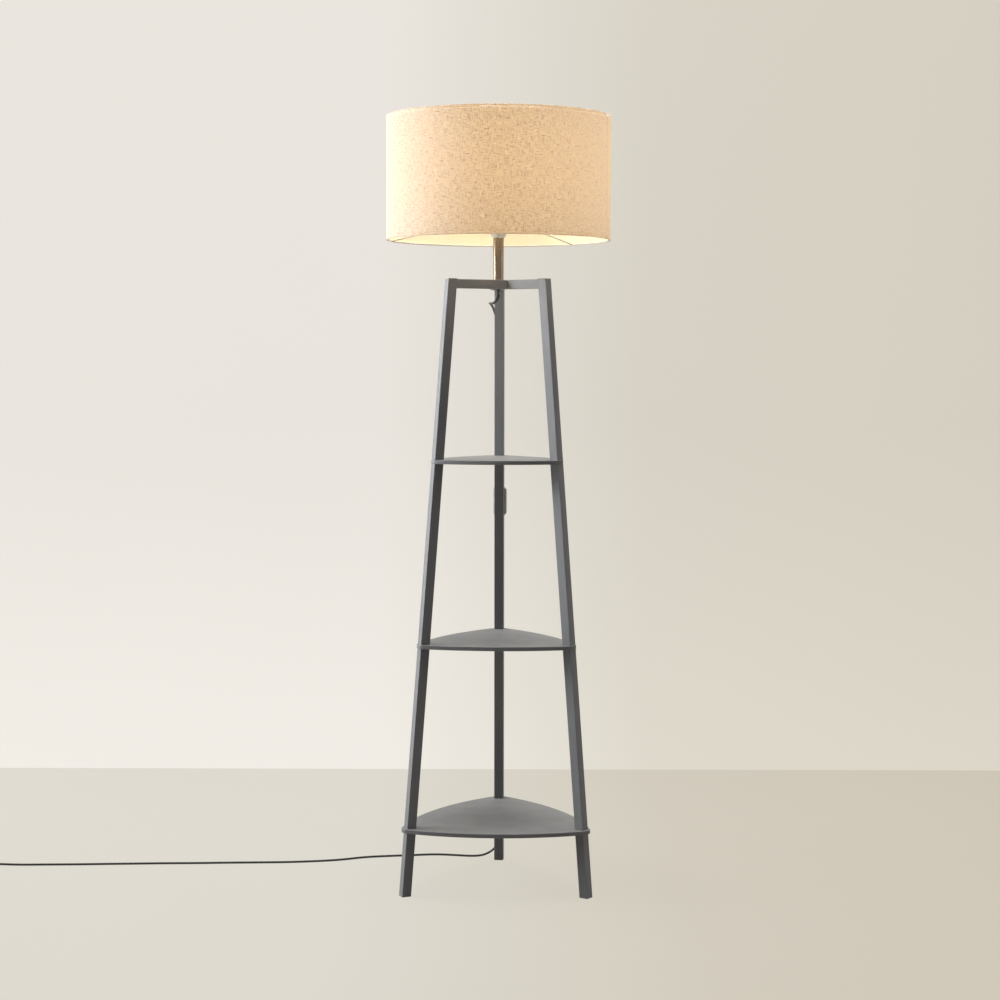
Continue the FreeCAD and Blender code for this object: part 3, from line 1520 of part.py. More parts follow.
def make_plug_body():
    """The flat moulded plug body."""
    name = "plug_body"
    body = new_body(name)
    sketch = sketch_in(body, f"{name}_outline", level="( 0 - plug_depth / 2 )")
    polygon(
        sketch,
        [
            ("0", "( 0 - plug_relief_diameter / 2 - plug_cheek )"),
            ("plug_length * 0.35", "( 0 - plug_width / 2 )"),
            ("plug_length * 0.8", "( 0 - plug_width / 2 )"),
            ("plug_length", "( 0 - plug_nose_width / 2 )"),
            ("plug_length", "plug_nose_width / 2"),
            ("plug_length * 0.8", "plug_width / 2"),
            ("plug_length * 0.35", "plug_width / 2"),
            ("0", "plug_relief_diameter / 2 + plug_cheek"),
        ],
    )
    pad(body, sketch, "plug_depth", f"{name}_pad")
    round_edges(body, lambda edge: True, "plug_edge_round", f"{name}_rounding")
    body.Placement = plug_frame()
    return body


def make_plug_relief():
    """The ribbed taper that guides the cord into the plug."""
    length = size("plug_relief_length")
    first = cord_radius + size("relief_wall")
    last = size("plug_relief_diameter") / 2
    slot = size("relief_slot_width")
    taper = Part.makeCone(first, last, length)
    for index in range(RELIEF_RIBS):
        along = length * (index + 0.6) / (RELIEF_RIBS + 0.4)
        foot = Vector(0, 0, along)
        core = first + (last - first) * along / length - size("relief_slot_depth")
        taper = taper.cut(Part.makeCylinder(2 * last, slot, foot).cut(Part.makeCylinder(core, slot, foot)))
    taper = taper.cut(Part.makeCylinder(cord_radius + size("sleeve_clearance"), length))
    place = Placement(coil_end - length * plug_way, Rotation(Vector(0, 0, 1), plug_way))
    return feature_of("plug_relief", taper, place)


def make_plug_pins():
    """The plug's two round pins with rounded tips."""
    radius = size("pin_diameter") / 2
    length = size("pin_length")
    pins = []
    for sign in (1, -1):
        start = Vector(size("plug_length"), sign * size("pin_spacing") / 2, 0)
        pin = Part.makeCylinder(radius, length, start, Vector(1, 0, 0))
        tip = [edge for edge in pin.Edges if edge.CenterOfMass.x > start.x + length - 0.1]
        pin = pin.makeFillet(radius * 0.6, tip[:1])
        pin.Placement = plug_frame().multiply(pin.Placement)
        pins.append(pin)
    return feature_of("plug_pins", Part.makeCompound(pins))


make_plug_body()
make_plug_relief()
make_plug_pins()

# ---------------------------------------------------------------- check and write
doc.recompute()
PIECE_TYPES = ("PartDesign::Body", "Part::Feature", "Part::Cylinder", "Part::Torus")
pieces = [item for item in doc.Objects if item.TypeId in PIECE_TYPES]
for item in doc.Objects:
    if "Invalid" in item.State or "Error" in item.State:
        raise RuntimeError(f"{item.Label} could not be made: {item.State}")
for piece in pieces:
    if piece.Shape.isNull() or not piece.Shape.isValid() or not piece.Shape.Solids:
        raise RuntimeError(f"{piece.Label} has no sound solid")
os.makedirs("parts", exist_ok=True)
for piece in pieces:
    piece.Shape.exportStep(os.path.join("parts", f"{piece.Label}.step"))
print(f"{len(pieces)} pieces written")
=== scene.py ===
"""A shelf floor lamp: three leaning legs, three shelves, a linen drum shade and its cord."""

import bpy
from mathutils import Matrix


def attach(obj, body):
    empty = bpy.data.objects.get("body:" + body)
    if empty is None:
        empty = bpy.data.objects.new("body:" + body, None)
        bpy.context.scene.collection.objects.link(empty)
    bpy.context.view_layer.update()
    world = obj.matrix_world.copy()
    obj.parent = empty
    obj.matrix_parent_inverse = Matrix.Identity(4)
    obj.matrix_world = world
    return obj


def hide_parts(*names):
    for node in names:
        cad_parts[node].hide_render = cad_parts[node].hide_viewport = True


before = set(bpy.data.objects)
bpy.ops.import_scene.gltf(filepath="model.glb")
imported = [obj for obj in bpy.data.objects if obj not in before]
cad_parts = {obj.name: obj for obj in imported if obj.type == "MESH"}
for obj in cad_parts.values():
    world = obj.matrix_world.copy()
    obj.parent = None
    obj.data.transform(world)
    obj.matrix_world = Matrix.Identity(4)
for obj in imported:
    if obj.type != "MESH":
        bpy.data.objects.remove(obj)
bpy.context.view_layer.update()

import logging
import math
from dataclasses import dataclass
from enum import Enum
from typing import Mapping, Sequence, Union

import bmesh
import bpy
from bpy.types import Curve, Material, Mesh, Node, NodeSocket, NodeTree, Object
from mathutils import Quaternion, Vector, noise

LOG = logging.getLogger("shelf_floor_lamp")
Colour = tuple[float, float, float, float]
SocketValue = Union[float, tuple, NodeSocket]
Point = tuple[float, float, float]


class Body(Enum):
    """The rigid bodies that new pieces ride on."""

    LAMP = "lamp"


class Slot(Enum):
    """The record's material slot names for the cord jacket and the linen; nothing in this script uses them.
    """

    CORD = "cord_jacket"
    LINEN = "linen"


def srgb(red: int, green: int, blue: int) -> Colour:
    """Turns a colour as seen on a screen into the linear colour that shaders use.

    Args:
        red: The red part, 0 to 255.
        green: The green part, 0 to 255.
        blue: The blue part, 0 to 255.

    Returns:
        The linear colour, with full alpha.
    """

    def linear(part: int) -> float:
        """One part on the linear scale, by the curve that screens use."""
        share = part / 255
        return share / 12.92 if share <= 0.04045 else ((share + 0.055) / 1.055) ** 2.4

    return (linear(red), linear(green), linear(blue), 1.0)


# ------------------------------------------------------------------ node trees
class Graph:
    """Draws a node tree: each call adds a node and sets or joins its sockets."""

    def __init__(self, tree: NodeTree) -> None:
        """Keeps the tree that is drawn in."""
        self.tree = tree

    def node(
        self, kind: str, sockets: Mapping[Union[str, int], SocketValue] | None = None, **settings: object
    ) -> Node:
        """Adds a node.

        Args:
            kind: The node's type name.
            sockets: Input names or numbers, each with a value or a socket to join.
            settings: The node's own settings.

        Returns:
            The new node.
        """
        made = self.tree.nodes.new(kind)
        for name, value in settings.items():
            setattr(made, name, value)
        self.join(made, sockets or {})
        return made

    def join(self, made: Node, sockets: Mapping[Union[str, int], SocketValue]) -> None:
        """Sets or joins some of a node's inputs.

        Args:
            made: The node.
            sockets: Input names or numbers, each with a value or a socket to join.
        """
        for key, value in sockets.items():
            if isinstance(value, NodeSocket):
                self.tree.links.new(value, made.inputs[key])
            else:
                made.inputs[key].default_value = value

    def math(
        self, operation: str, first: SocketValue, second: SocketValue = 0.0, clamp: bool = False
    ) -> NodeSocket:
        """Adds one step of arithmetic and gives its result's socket."""
        made = self.node("ShaderNodeMath", {0: first, 1: second}, operation=operation, use_clamp=clamp)
        return made.outputs[0]

    def line(
        self, value: SocketValue, slope: SocketValue, start: SocketValue, clamp: bool = False
    ) -> NodeSocket:
        """Gives a value times a slope, plus a start."""
        return self.math("ADD", self.math("MULTIPLY", value, slope), start, clamp)

    def above(self, value: SocketValue, level: float, gain: float) -> NodeSocket:
        """Gives a mask that rises from 0 by a gain where a value passes a level."""
        return self.math("MULTIPLY", self.math("SUBTRACT", value, level), gain, True)

    def blend(
        self, share: SocketValue, first: SocketValue, second: SocketValue, kind: str = "MIX"
    ) -> NodeSocket:
        """Mixes two colours by the second one's share and gives the result's socket."""
        sockets = {0: share, 6: first, 7: second}
        return self.node("ShaderNodeMix", sockets, data_type="RGBA", blend_type=kind).outputs[2]

    def shaded(self, colour: SocketValue, share: NodeSocket) -> NodeSocket:
        """Makes a colour lighter or darker by a share."""
        grey = self.node("ShaderNodeCombineColor", {0: share, 1: share, 2: share}).outputs[0]
        return self.blend(1.0, colour, grey, "MULTIPLY")

    def raised(self, height: NodeSocket, strength: float, distance: float) -> NodeSocket:
        """Turns a height into a normal: a height of 1 stands the distance high, in metres."""
        sockets = {"Height": height, "Strength": strength, "Distance": distance}
        return self.node("ShaderNodeBump", sockets).outputs[0]

    def stretched(self, position: SocketValue, factors: Point) -> NodeSocket:
        """Scales a position by its own factor on each axis."""
        made = self.node("ShaderNodeVectorMath", {0: position, 1: factors}, operation="MULTIPLY")
        return made.outputs[0]

    def axis(self, position: SocketValue, number: int) -> NodeSocket:
        """Gives one part of a position: 0 is x, 1 is y and 2 is z."""
        return self.node("ShaderNodeSeparateXYZ", {0: position}).outputs[number]

    def ramp(self, value: SocketValue, stops: Sequence[tuple[float, Colour]]) -> NodeSocket:
        """Turns a value into a colour.

        Args:
            value: The value.
            stops: Its places from low to high, each with a colour.

        Returns:
            The colour's socket.
        """
        made = self.node("ShaderNodeValToRGB", {0: value})
        elements = made.color_ramp.elements
        while len(elements) < len(stops):
            elements.new(0.5)
        for element, (place, colour) in zip(elements, stops):
            element.position = place
            element.color = colour
        return made.outputs[0]

    def cloud(
        self, position: SocketValue, scale: SocketValue, detail: float = 3.0, rough: float = 0.5
    ) -> NodeSocket:
        """Gives a soft noise from 0 to 1, at a scale in lumps to the metre."""
        sockets = {"Vector": position, "Scale": scale, "Detail": detail, "Roughness": rough}
        return self.node("ShaderNodeTexNoise", sockets).outputs[0]

    def shown_rays(self) -> NodeSocket:
        """Tells the rays that show the background: camera, mirrored and clear ones.

        Returns:
            A socket that is 1 for them.
        """
        path = self.node("ShaderNodeLightPath").outputs
        seen = self.math("MAXIMUM", path["Is Camera Ray"], path["Is Glossy Ray"])
        return self.math("MAXIMUM", seen, path["Is Transmission Ray"])


@dataclass(frozen=True)
class Effect:
    """A shader effect that several finishes share, kept as one node group."""

    tree: NodeTree

    def place(self, graph: Graph, sockets: Mapping[str, SocketValue]) -> Node:
        """Puts the group in a material, joins its inputs by name and gives its node."""
        return graph.node("ShaderNodeGroup", sockets, node_tree=self.tree)


class EffectMaker:
    """Starts a node group with named inputs and outputs, and closes it."""

    def __init__(self, name: str, inputs: Mapping[str, str], outputs: Mapping[str, str]) -> None:
        """Makes the group's sockets.

        Args:
            name: The group's name.
            inputs: Input names, each with its socket type.
            outputs: Output names, each with its socket type.
        """
        self.tree = bpy.data.node_groups.new(name, "ShaderNodeTree")
        for side, sockets in (("INPUT", inputs), ("OUTPUT", outputs)):
            for label, kind in sockets.items():
                self.tree.interface.new_socket(label, in_out=side, socket_type=kind)
        self.graph = Graph(self.tree)
        self.given = self.graph.node("NodeGroupInput").outputs
        self.result = self.graph.node("NodeGroupOutput").inputs

    def close(self, results: Mapping[str, NodeSocket]) -> Effect:
        """Joins the results to the group's outputs.

        Args:
            results: The sockets, by the output's name.

        Returns:
            The effect.
        """
        for label, socket in results.items():
            self.tree.links.new(socket, self.result[label])
        return Effect(self.tree)


FLOAT, VECTOR, COLOUR = "NodeSocketFloat", "NodeSocketVector", "NodeSocketColor"


@dataclass(frozen=True)
class ThreadRun:
    """Threads that run one way: their lumps to the metre, and how much of them shows.

    The share is what a plain run adds to the tone, or the level above which a slub starts.
    """

    around: float
    upright: float
    detail: float
    share: float


@dataclass(frozen=True)
class ThreadPattern:
    """The linen's pattern: its runs, its slubs and how much its lines wander."""

    runs: Sequence[ThreadRun] = (
        ThreadRun(85.0, 560.0, 2.0, 0.36),
        ThreadRun(540.0, 75.0, 2.0, 0.32),
        ThreadRun(330.0, 330.0, 3.0, 0.32),
    )
    slubs: Sequence[ThreadRun] = (ThreadRun(48.0, 430.0, 1.0, 0.69), ThreadRun(420.0, 90.0, 1.0, 0.74))
    slub_gain: float = 9.0
    wander_scale: float = 90.0
    wander: float = 2.2


class Effects:
    """The effects that the finishes share, each built once."""

    def __init__(self) -> None:
        """Builds every group."""
        self.tone_drift = self._tone_drift()
        self.grain = self._grain()
        self.dust_and_top_light = self._dust_and_top_light()
        self.scuffs = self._scuffs()
        self.brush_lines = self._brush_lines()
        self.linen_threads = self._linen_threads(ThreadPattern())

    @staticmethod
    def _tone_drift() -> Effect:
        """A colour that drifts a little lighter and darker over a surface.

        Returns:
            The effect.
        """
        maker = EffectMaker(
            "Tone drift",
            {"Position": VECTOR, "Colour": COLOUR, "Scale": FLOAT, "Amount": FLOAT},
            {"Colour": COLOUR, "Drift": FLOAT},
        )
        graph, given = maker.graph, maker.given
        drift = graph.math("SUBTRACT", graph.cloud(given["Position"], given["Scale"], 4.0, 0.55), 0.5)
        toned = graph.shaded(given["Colour"], graph.line(drift, given["Amount"], 1.0))
        return maker.close({"Colour": toned, "Drift": drift})

    @staticmethod
    def _grain() -> Effect:
        """The fine unevenness of a painted, moulded or rubber skin.

        Returns:
            The effect.
        """
        maker = EffectMaker("Skin grain", {"Position": VECTOR, "Scale": FLOAT}, {"Height": FLOAT})
        graph, given = maker.graph, maker.given
        cell_share, cell_height = 0.6, 0.35
        fine = graph.cloud(given["Position"], given["Scale"], 2.0)
        cell_scale = graph.math("MULTIPLY", given["Scale"], cell_share)
        cell_sockets = {"Vector": given["Position"], "Scale": cell_scale}
        cells = graph.node("ShaderNodeTexVoronoi", cell_sockets).outputs[0]
        return maker.close({"Height": graph.line(cells, cell_height, fine)})

    @staticmethod
    def _dust_and_top_light() -> Effect:
        """A mask that grows where a surface looks up, broken up by soft noise: for dusty faces, and for
        painted light that makes up-facing faces lighter.

        Returns:
            The effect.
        """
        maker = EffectMaker("Dust and top light", {"Position": VECTOR, "Amount": FLOAT}, {"Mask": FLOAT})
        graph, given = maker.graph, maker.given
        patch_scale, patch_detail, steepness = 26.0, 6.0, 3.0
        upwards = graph.axis(graph.node("ShaderNodeNewGeometry").outputs["Normal"], 2)
        level = graph.math("POWER", graph.math("MAXIMUM", upwards, 0.0), steepness)
        patches = graph.cloud(given["Position"], patch_scale, patch_detail)
        mask = graph.math("MULTIPLY", graph.math("MULTIPLY", level, patches), given["Amount"], True)
        return maker.close({"Mask": mask})

    @staticmethod
    def _scuffs() -> Effect:
        """A mask of small rubbed marks that fade out above a level.

        Returns:
            The effect.
        """
        maker = EffectMaker(
            "Foot scuffs", {"Position": VECTOR, "Scale": FLOAT, "Fade level": FLOAT}, {"Mask": FLOAT}
        )
        graph, given = maker.graph, maker.given
        mark_level, mark_gain = 0.62, 9.0
        marks = graph.cloud(given["Position"], given["Scale"], 5.0, 0.7)
        spots = graph.above(marks, mark_level, mark_gain)
        height = graph.axis(given["Position"], 2)
        near = graph.math("SUBTRACT", 1.0, graph.math("DIVIDE", height, given["Fade level"]), True)
        return maker.close({"Mask": graph.math("MULTIPLY", spots, near)})

    @staticmethod
    def _brush_lines() -> Effect:
        """The fine lines of brushed metal, along the upright axis.

        Returns:
            The effect.
        """
        maker = EffectMaker(
            "Brush lines", {"Position": VECTOR, "Fineness": FLOAT}, {"Height": FLOAT, "Line": FLOAT}
        )
        graph, given = maker.graph, maker.given
        line_length_share = 0.012
        around = graph.stretched(given["Position"], (1.0, 1.0, line_length_share))
        lines = graph.cloud(around, given["Fineness"])
        return maker.close({"Height": lines, "Line": graph.math("SUBTRACT", lines, 0.5)})

    @staticmethod
    def _linen_threads(pattern: ThreadPattern) -> Effect:
        """A plain weave round an upright drum: thread height, uneven tone, dark slubs, and a band along the
        seam for a painted shadow.

        Args:
            pattern: The weave's runs and slubs.

        Returns:
            The effect.
        """
        given_sizes = ("Drum radius", "Seam angle", "Seam width", "Thread pitch")
        maker = EffectMaker(
            "Linen threads",
            {"Position": VECTOR, **dict.fromkeys(given_sizes, FLOAT)},
            dict.fromkeys(("Height", "Tone", "Slubs", "Seam"), FLOAT),
        )
        graph, given = maker.graph, maker.given
        turned = graph.node(
            "ShaderNodeVectorRotate",
            {"Vector": given["Position"], "Angle": given["Seam angle"]},
            rotation_type="Z_AXIS",
        ).outputs[0]
        parts = graph.node("ShaderNodeSeparateXYZ", {0: turned}).outputs
        angle = graph.math("ARCTAN2", parts[1], parts[0])
        around = graph.math("MULTIPLY", angle, given["Drum radius"])
        flat = graph.node("ShaderNodeCombineXYZ", {0: around, 1: parts[2], 2: 0.0}).outputs[0]
        rate = graph.math("DIVIDE", 2 * math.pi, given["Thread pitch"])
        wander = graph.math("MULTIPLY", graph.cloud(flat, pattern.wander_scale, 2.0), pattern.wander)
        weft = graph.math("SINE", graph.line(parts[2], rate, wander))
        warp = graph.math("SINE", graph.line(around, rate, wander))
        weave = graph.line(graph.math("MULTIPLY", weft, warp), 0.5, 0.5)
        tone: SocketValue = 0.0
        for run in pattern.runs:
            threads = graph.cloud(graph.stretched(flat, (run.around, run.upright, 1.0)), 1.0, run.detail)
            tone = graph.line(threads, run.share, tone)
        slubs: SocketValue = 0.0
        for run in pattern.slubs:
            lumps = graph.cloud(graph.stretched(flat, (run.around, run.upright, 1.0)), 1.0, run.detail)
            slubs = graph.math("MAXIMUM", slubs, graph.above(lumps, run.share, pattern.slub_gain))
        # The seam band marks where the overlap's edge would cast its shadow; it is darkened later as
        # painted shadow.
        to_seam = graph.math("SUBTRACT", math.pi, graph.math("ABSOLUTE", angle))
        apart = graph.math("MULTIPLY", to_seam, given["Drum radius"])
        seam = graph.math("SUBTRACT", 1.0, graph.math("DIVIDE", apart, given["Seam width"]), True)
        return maker.close({"Height": weave, "Tone": tone, "Slubs": slubs, "Seam": seam})


# ------------------------------------------------------------------ finishes
def blank_material(name: str) -> tuple[Material, Graph, NodeSocket]:
    """Makes a material with an empty node tree.

    Args:
        name: The material's name.

    Returns:
        The material, its graph and the socket of the position on the object.
    """
    material = bpy.data.materials.new(name)
    material.use_nodes = True
    material.node_tree.nodes.clear()
    graph = Graph(material.node_tree)
    return material, graph, graph.node("ShaderNodeTexCoord").outputs["Object"]


@dataclass(frozen=True)
class Finish:
    """What every finish has: its name, its colour and how rough it is."""

    name: str
    colour: Colour
    roughness: float

    def start(self) -> tuple[Material, Graph, NodeSocket, Node]:
        """Makes a material with only a Principled shader.

        Returns:
            The material, its graph, the object position and the shader.
        """
        material, graph, position = blank_material(self.name)
        sockets = {"Base Color": self.colour, "Roughness": self.roughness}
        shader = graph.node("ShaderNodeBsdfPrincipled", sockets)
        graph.node("ShaderNodeOutputMaterial", {0: shader.outputs[0]})
        return material, graph, position, shader

    @staticmethod
    def drifted(
        graph: Graph, effects: Effects, position: NodeSocket, colour: SocketValue, scale: float,
        amount: float,
    ) -> Node:
        """Places the tone drift, whose node has the outputs Colour and Drift."""
        sockets = {"Position": position, "Colour": colour, "Scale": scale, "Amount": amount}
        return effects.tone_drift.place(graph, sockets)


@dataclass(frozen=True)
class PaintFinish(Finish):
    """Satin paint on wood, with brush grain, rubbed feet, and up-facing faces made dusty and lighter by
    painted light from above.
    """

    # Up-facing faces lighten towards a paler colour: they look dusty, and it is also painted light from
    # above.
    dust_and_light_amount: float = 0.2
    grain_scale: float = 900.0
    drift_scale: float = 9.0
    drift_amount: float = 0.22
    scuff_scale: float = 160.0
    scuff_level: float = 0.05
    rubbed: Colour = srgb(150, 147, 140)
    dust_and_light: Colour = srgb(190, 186, 178)
    specular: float = 0.3

    def build(self, effects: Effects) -> Material:
        """Makes the material.

        Args:
            effects: The shared effects.

        Returns:
            The material.
        """
        material, graph, position, shader = self.start()
        drift = self.drifted(graph, effects, position, self.colour, self.drift_scale, self.drift_amount)
        # Painted light from above, and a dusty look: the mask lightens up-facing faces.
        dust_and_light = effects.dust_and_top_light.place(graph, {"Position": position, "Amount": self.dust_and_light_amount})
        scuffs = effects.scuffs.place(
            graph, {"Position": position, "Scale": self.scuff_scale, "Fade level": self.scuff_level}
        )
        rubbed = graph.blend(scuffs.outputs["Mask"], drift.outputs["Colour"], self.rubbed)
        rough = graph.line(drift.outputs["Drift"], slope=0.18, start=self.roughness)
        grain = effects.grain.place(graph, {"Position": position, "Scale": self.grain_scale})
        graph.join(shader, {
            "Base Color": graph.blend(dust_and_light.outputs["Mask"], rubbed, self.dust_and_light),
            "Roughness": graph.line(dust_and_light.outputs["Mask"], slope=0.3, start=rough),
            "Normal": graph.raised(grain.outputs["Height"], strength=0.16, distance=0.00025),
            "Specular IOR Level": self.specular,
        })
        return material


@dataclass(frozen=True)
class MouldedFinish(Finish):
    """Moulded plastic or rubber, with a fine skin and slight drift in its tone."""

    grain_scale: float = 1600.0
    grain_strength: float = 0.1
    coat: float = 0.0
    drift_scale: float = 60.0
    drift_amount: float = 0.14

    def build(self, effects: Effects) -> Material:
        """Makes the material.

        Args:
            effects: The shared effects.

        Returns:
            The material.
        """
        material, graph, position, shader = self.start()
        drift = self.drifted(graph, effects, position, self.colour, self.drift_scale, self.drift_amount)
        grain = effects.grain.place(graph, {"Position": position, "Scale": self.grain_scale})
        graph.join(shader, {
            "Base Color": drift.outputs["Colour"],
            "Roughness": graph.line(drift.outputs["Drift"], slope=0.25, start=self.roughness),
            "Normal": graph.raised(grain.outputs["Height"], self.grain_strength, distance=0.0002),
            "Coat Weight": self.coat,
        })
        return material


@dataclass(frozen=True)
class MetalFinish(Finish):
    """Brushed or plated metal."""

    fineness: float = 900.0
    line_strength: float = 0.12
    drift_scale: float = 30.0
    drift_amount: float = 0.12

    def build(self, effects: Effects) -> Material:
        """Makes the material.

        Args:
            effects: The shared effects.

        Returns:
            The material.
        """
        material, graph, position, shader = self.start()
        lines = effects.brush_lines.place(graph, {"Position": position, "Fineness": self.fineness})
        drift = self.drifted(graph, effects, position, self.colour, self.drift_scale, self.drift_amount)
        graph.join(shader, {
            "Metallic": 1.0,
            "Base Color": drift.outputs["Colour"],
            "Roughness": graph.line(lines.outputs["Line"], slope=0.3, start=self.roughness),
            "Normal": graph.raised(lines.outputs["Height"], self.line_strength, distance=0.0001),
        })
        return material


@dataclass(frozen=True)
class LinenFinish(Finish):
    """Natural linen over a lit shade: slubbed plain weave with a warm glow through it.

    The skin share and the glow share say how much the threads' tone shows in the light that
    falls on the cloth and in the light that comes through it.
    """

    slub_shade: float = 0.55
    tone_contrast: float = 2.9
    skin_share: float = 0.4
    glow_share: float = 1.4
    glow_colour: Colour = srgb(188, 150, 101)
    glow_strength: float = 1.26
    drum_radius: float = 0.225
    seam_angle: float = 0.0
    seam_width: float = 0.003
    painted_seam_shadow: float = 0.16
    thread_pitch: float = 0.0016
    drift_scale: float = 14.0
    drift_amount: float = 0.1
    middle_level: float = 1.445
    fade_height: float = 0.34
    edge_levels: tuple[float, float] = (1.3058, 1.5502)
    edge_width: float = 0.0022
    edge_light: float = 0.55

    def build(self, effects: Effects) -> Material:
        """Makes the material.

        Args:
            effects: The shared effects.

        Returns:
            The material.
        """
        material, graph, position, shader = self.start()
        threads = effects.linen_threads.place(
            graph,
            {
                "Position": position,
                "Drum radius": self.drum_radius,
                "Seam angle": self.seam_angle,
                "Seam width": self.seam_width,
                "Thread pitch": self.thread_pitch,
            },
        ).outputs
        tone = graph.math("MULTIPLY", graph.math("SUBTRACT", threads["Tone"], 0.5), self.tone_contrast)
        slubs = graph.math("MULTIPLY", threads["Slubs"], self.slub_shade)
        # Painted shadow: the band along the seam is darkened, in the colour and in the glow.
        dark = graph.line(threads["Seam"], self.painted_seam_shadow, slubs)
        bright = graph.math("SUBTRACT", graph.math("ADD", tone, 1.0), dark)
        woven = graph.shaded(self.colour, graph.line(bright, self.skin_share, 1 - self.skin_share))
        drift = self.drifted(graph, effects, position, woven, self.drift_scale, self.drift_amount)
        through = graph.line(bright, self.glow_share, 1 - self.glow_share)
        height = graph.line(threads["Height"], slope=0.5, start=threads["Tone"])
        graph.join(shader, {
            "Base Color": drift.outputs["Colour"],
            "Emission Color": graph.shaded(self.glow_colour, self._lit(graph, position, through)),
            "Emission Strength": self.glow_strength,
            "Sheen Weight": 0.15,
            "Sheen Roughness": 0.5,
            "Specular IOR Level": 0.2,
            "Normal": graph.raised(height, strength=0.12, distance=0.0005),
        })
        return material

    def _lit(self, graph: Graph, position: NodeSocket, through: NodeSocket) -> NodeSocket:
        """Lets the glow fall off from the bulb's level, and dims it at both rims.

        Args:
            graph: The material's graph.
            position: The position on the object.
            through: How much light the threads let through.

        Returns:
            The glow's share.
        """
        level = graph.axis(position, 2)
        away = graph.math("ABSOLUTE", graph.math("SUBTRACT", level, self.middle_level))
        fall = graph.math("POWER", graph.math("DIVIDE", away, self.fade_height, True), 2.0)
        light = graph.math("MULTIPLY", through, graph.math("SUBTRACT", 1.0, fall))
        for edge in self.edge_levels:
            apart = graph.math("ABSOLUTE", graph.math("SUBTRACT", level, edge))
            clear = graph.math("DIVIDE", apart, self.edge_width, True)
            light = graph.math("MULTIPLY", light, graph.line(clear, 1 - self.edge_light, self.edge_light))
        return light


@dataclass(frozen=True)
class GlowFinish(Finish):
    """A surface that the lit bulb makes glow: the cream lining or the frosted glass."""

    glow_colour: Colour = srgb(255, 228, 178)
    glow_strength: float = 0.5
    transmission: float = 0.0
    drift_scale: float = 22.0
    drift_amount: float = 0.16
    grain_scale: float = 700.0

    def build(self, effects: Effects) -> Material:
        """Makes the material.

        Args:
            effects: The shared effects.

        Returns:
            The material.
        """
        material, graph, position, shader = self.start()
        drift = self.drifted(
            graph, effects, position, self.glow_colour, self.drift_scale, self.drift_amount
        )
        grain = effects.grain.place(graph, {"Position": position, "Scale": self.grain_scale})
        graph.join(shader, {
            "Emission Color": drift.outputs["Colour"],
            "Emission Strength": self.glow_strength,
            "Transmission Weight": self.transmission,
            "Normal": graph.raised(grain.outputs["Height"], strength=0.08, distance=0.0002),
        })
        return material


@dataclass(frozen=True)
class WoodFinish(Finish):
    """Plain beech with its grain along the piece."""

    dark: Colour = srgb(170, 128, 84)
    fineness: float = 420.0
    line_contrast: float = 2.0

    def build(self, effects: Effects) -> Material:
        """Makes the material.

        Args:
            effects: The shared effects.

        Returns:
            The material.
        """
        material, graph, position, shader = self.start()
        lines = effects.brush_lines.place(graph, {"Position": position, "Fineness": self.fineness})
        tone = graph.line(lines.outputs["Line"], self.line_contrast, 0.5, True)
        graph.join(shader, {
            "Base Color": graph.blend(tone, self.dark, self.colour),
            "Normal": graph.raised(lines.outputs["Height"], strength=0.2, distance=0.0002),
        })
        return material


@dataclass(frozen=True)
class BackdropFinish:
    """A pale floor or wall whose tone drifts from left to right, as light falls off in a room."""

    name: str
    left: Colour
    middle: Colour
    right: Colour
    half_width: float
    own_light: float
    diffuse: Colour
    opaque_behind: bool
    left_end: float = 0.42
    middle_place: float = 0.6
    half_height: float = 3.0
    low_band: float = 0.9
    low_lift: float = 0.0
    cloud_scale: float = 1.3
    cloud_amount: float = 0.02

    def build(self) -> Material:
        """Makes the material.

        Returns:
            The material.
        """
        material, graph, position = blank_material(self.name)
        across, level = graph.axis(position, 0), graph.axis(position, 1)
        share = graph.math("ADD", graph.math("DIVIDE", across, 2 * self.half_width), 0.5, True)
        places = (0.0, self.left_end, self.middle_place, 1.0)
        tone = graph.ramp(share, list(zip(places, (self.left, self.left, self.middle, self.right))))
        # Painted light: the wall is made lighter towards its foot by the low lift.
        low = graph.math("DIVIDE", graph.math("ADD", level, self.half_height), self.low_band)
        lift = graph.math("MULTIPLY", graph.math("SUBTRACT", 1.0, low, True), self.low_lift)
        cloud = graph.cloud(position, self.cloud_scale)
        cloudy = graph.line(cloud, self.cloud_amount, 1 - self.cloud_amount / 2)
        tone = graph.shaded(tone, graph.math("ADD", cloudy, lift))
        plain = graph.node("ShaderNodeBsdfDiffuse", {0: self.diffuse}).outputs[0]
        glow = graph.node("ShaderNodeEmission", {0: tone, 1: 1.0}).outputs[0]
        shown = graph.math("MULTIPLY", graph.shown_rays(), self.own_light)
        surface = graph.node("ShaderNodeMixShader", {0: shown, 1: plain, 2: glow}).outputs[0]
        if not self.opaque_behind:
            behind = graph.node("ShaderNodeNewGeometry").outputs["Backfacing"]
            clear = graph.node("ShaderNodeBsdfTransparent").outputs[0]
            surface = graph.node("ShaderNodeMixShader", {0: behind, 1: surface, 2: clear}).outputs[0]
        graph.node("ShaderNodeOutputMaterial", {0: surface})
        return material


# ------------------------------------------------------------------ helpers for pieces
def add_piece(name: str, data: Union[Mesh, Curve], material: Material) -> Object:
    """Links a new object that wears one material.

    Args:
        name: The piece's name.
        data: Its mesh or curve.
        material: What it wears.

    Returns:
        The object.
    """
    made = bpy.data.objects.new(name, data)
    bpy.context.scene.collection.objects.link(made)
    data.materials.append(material)
    return made


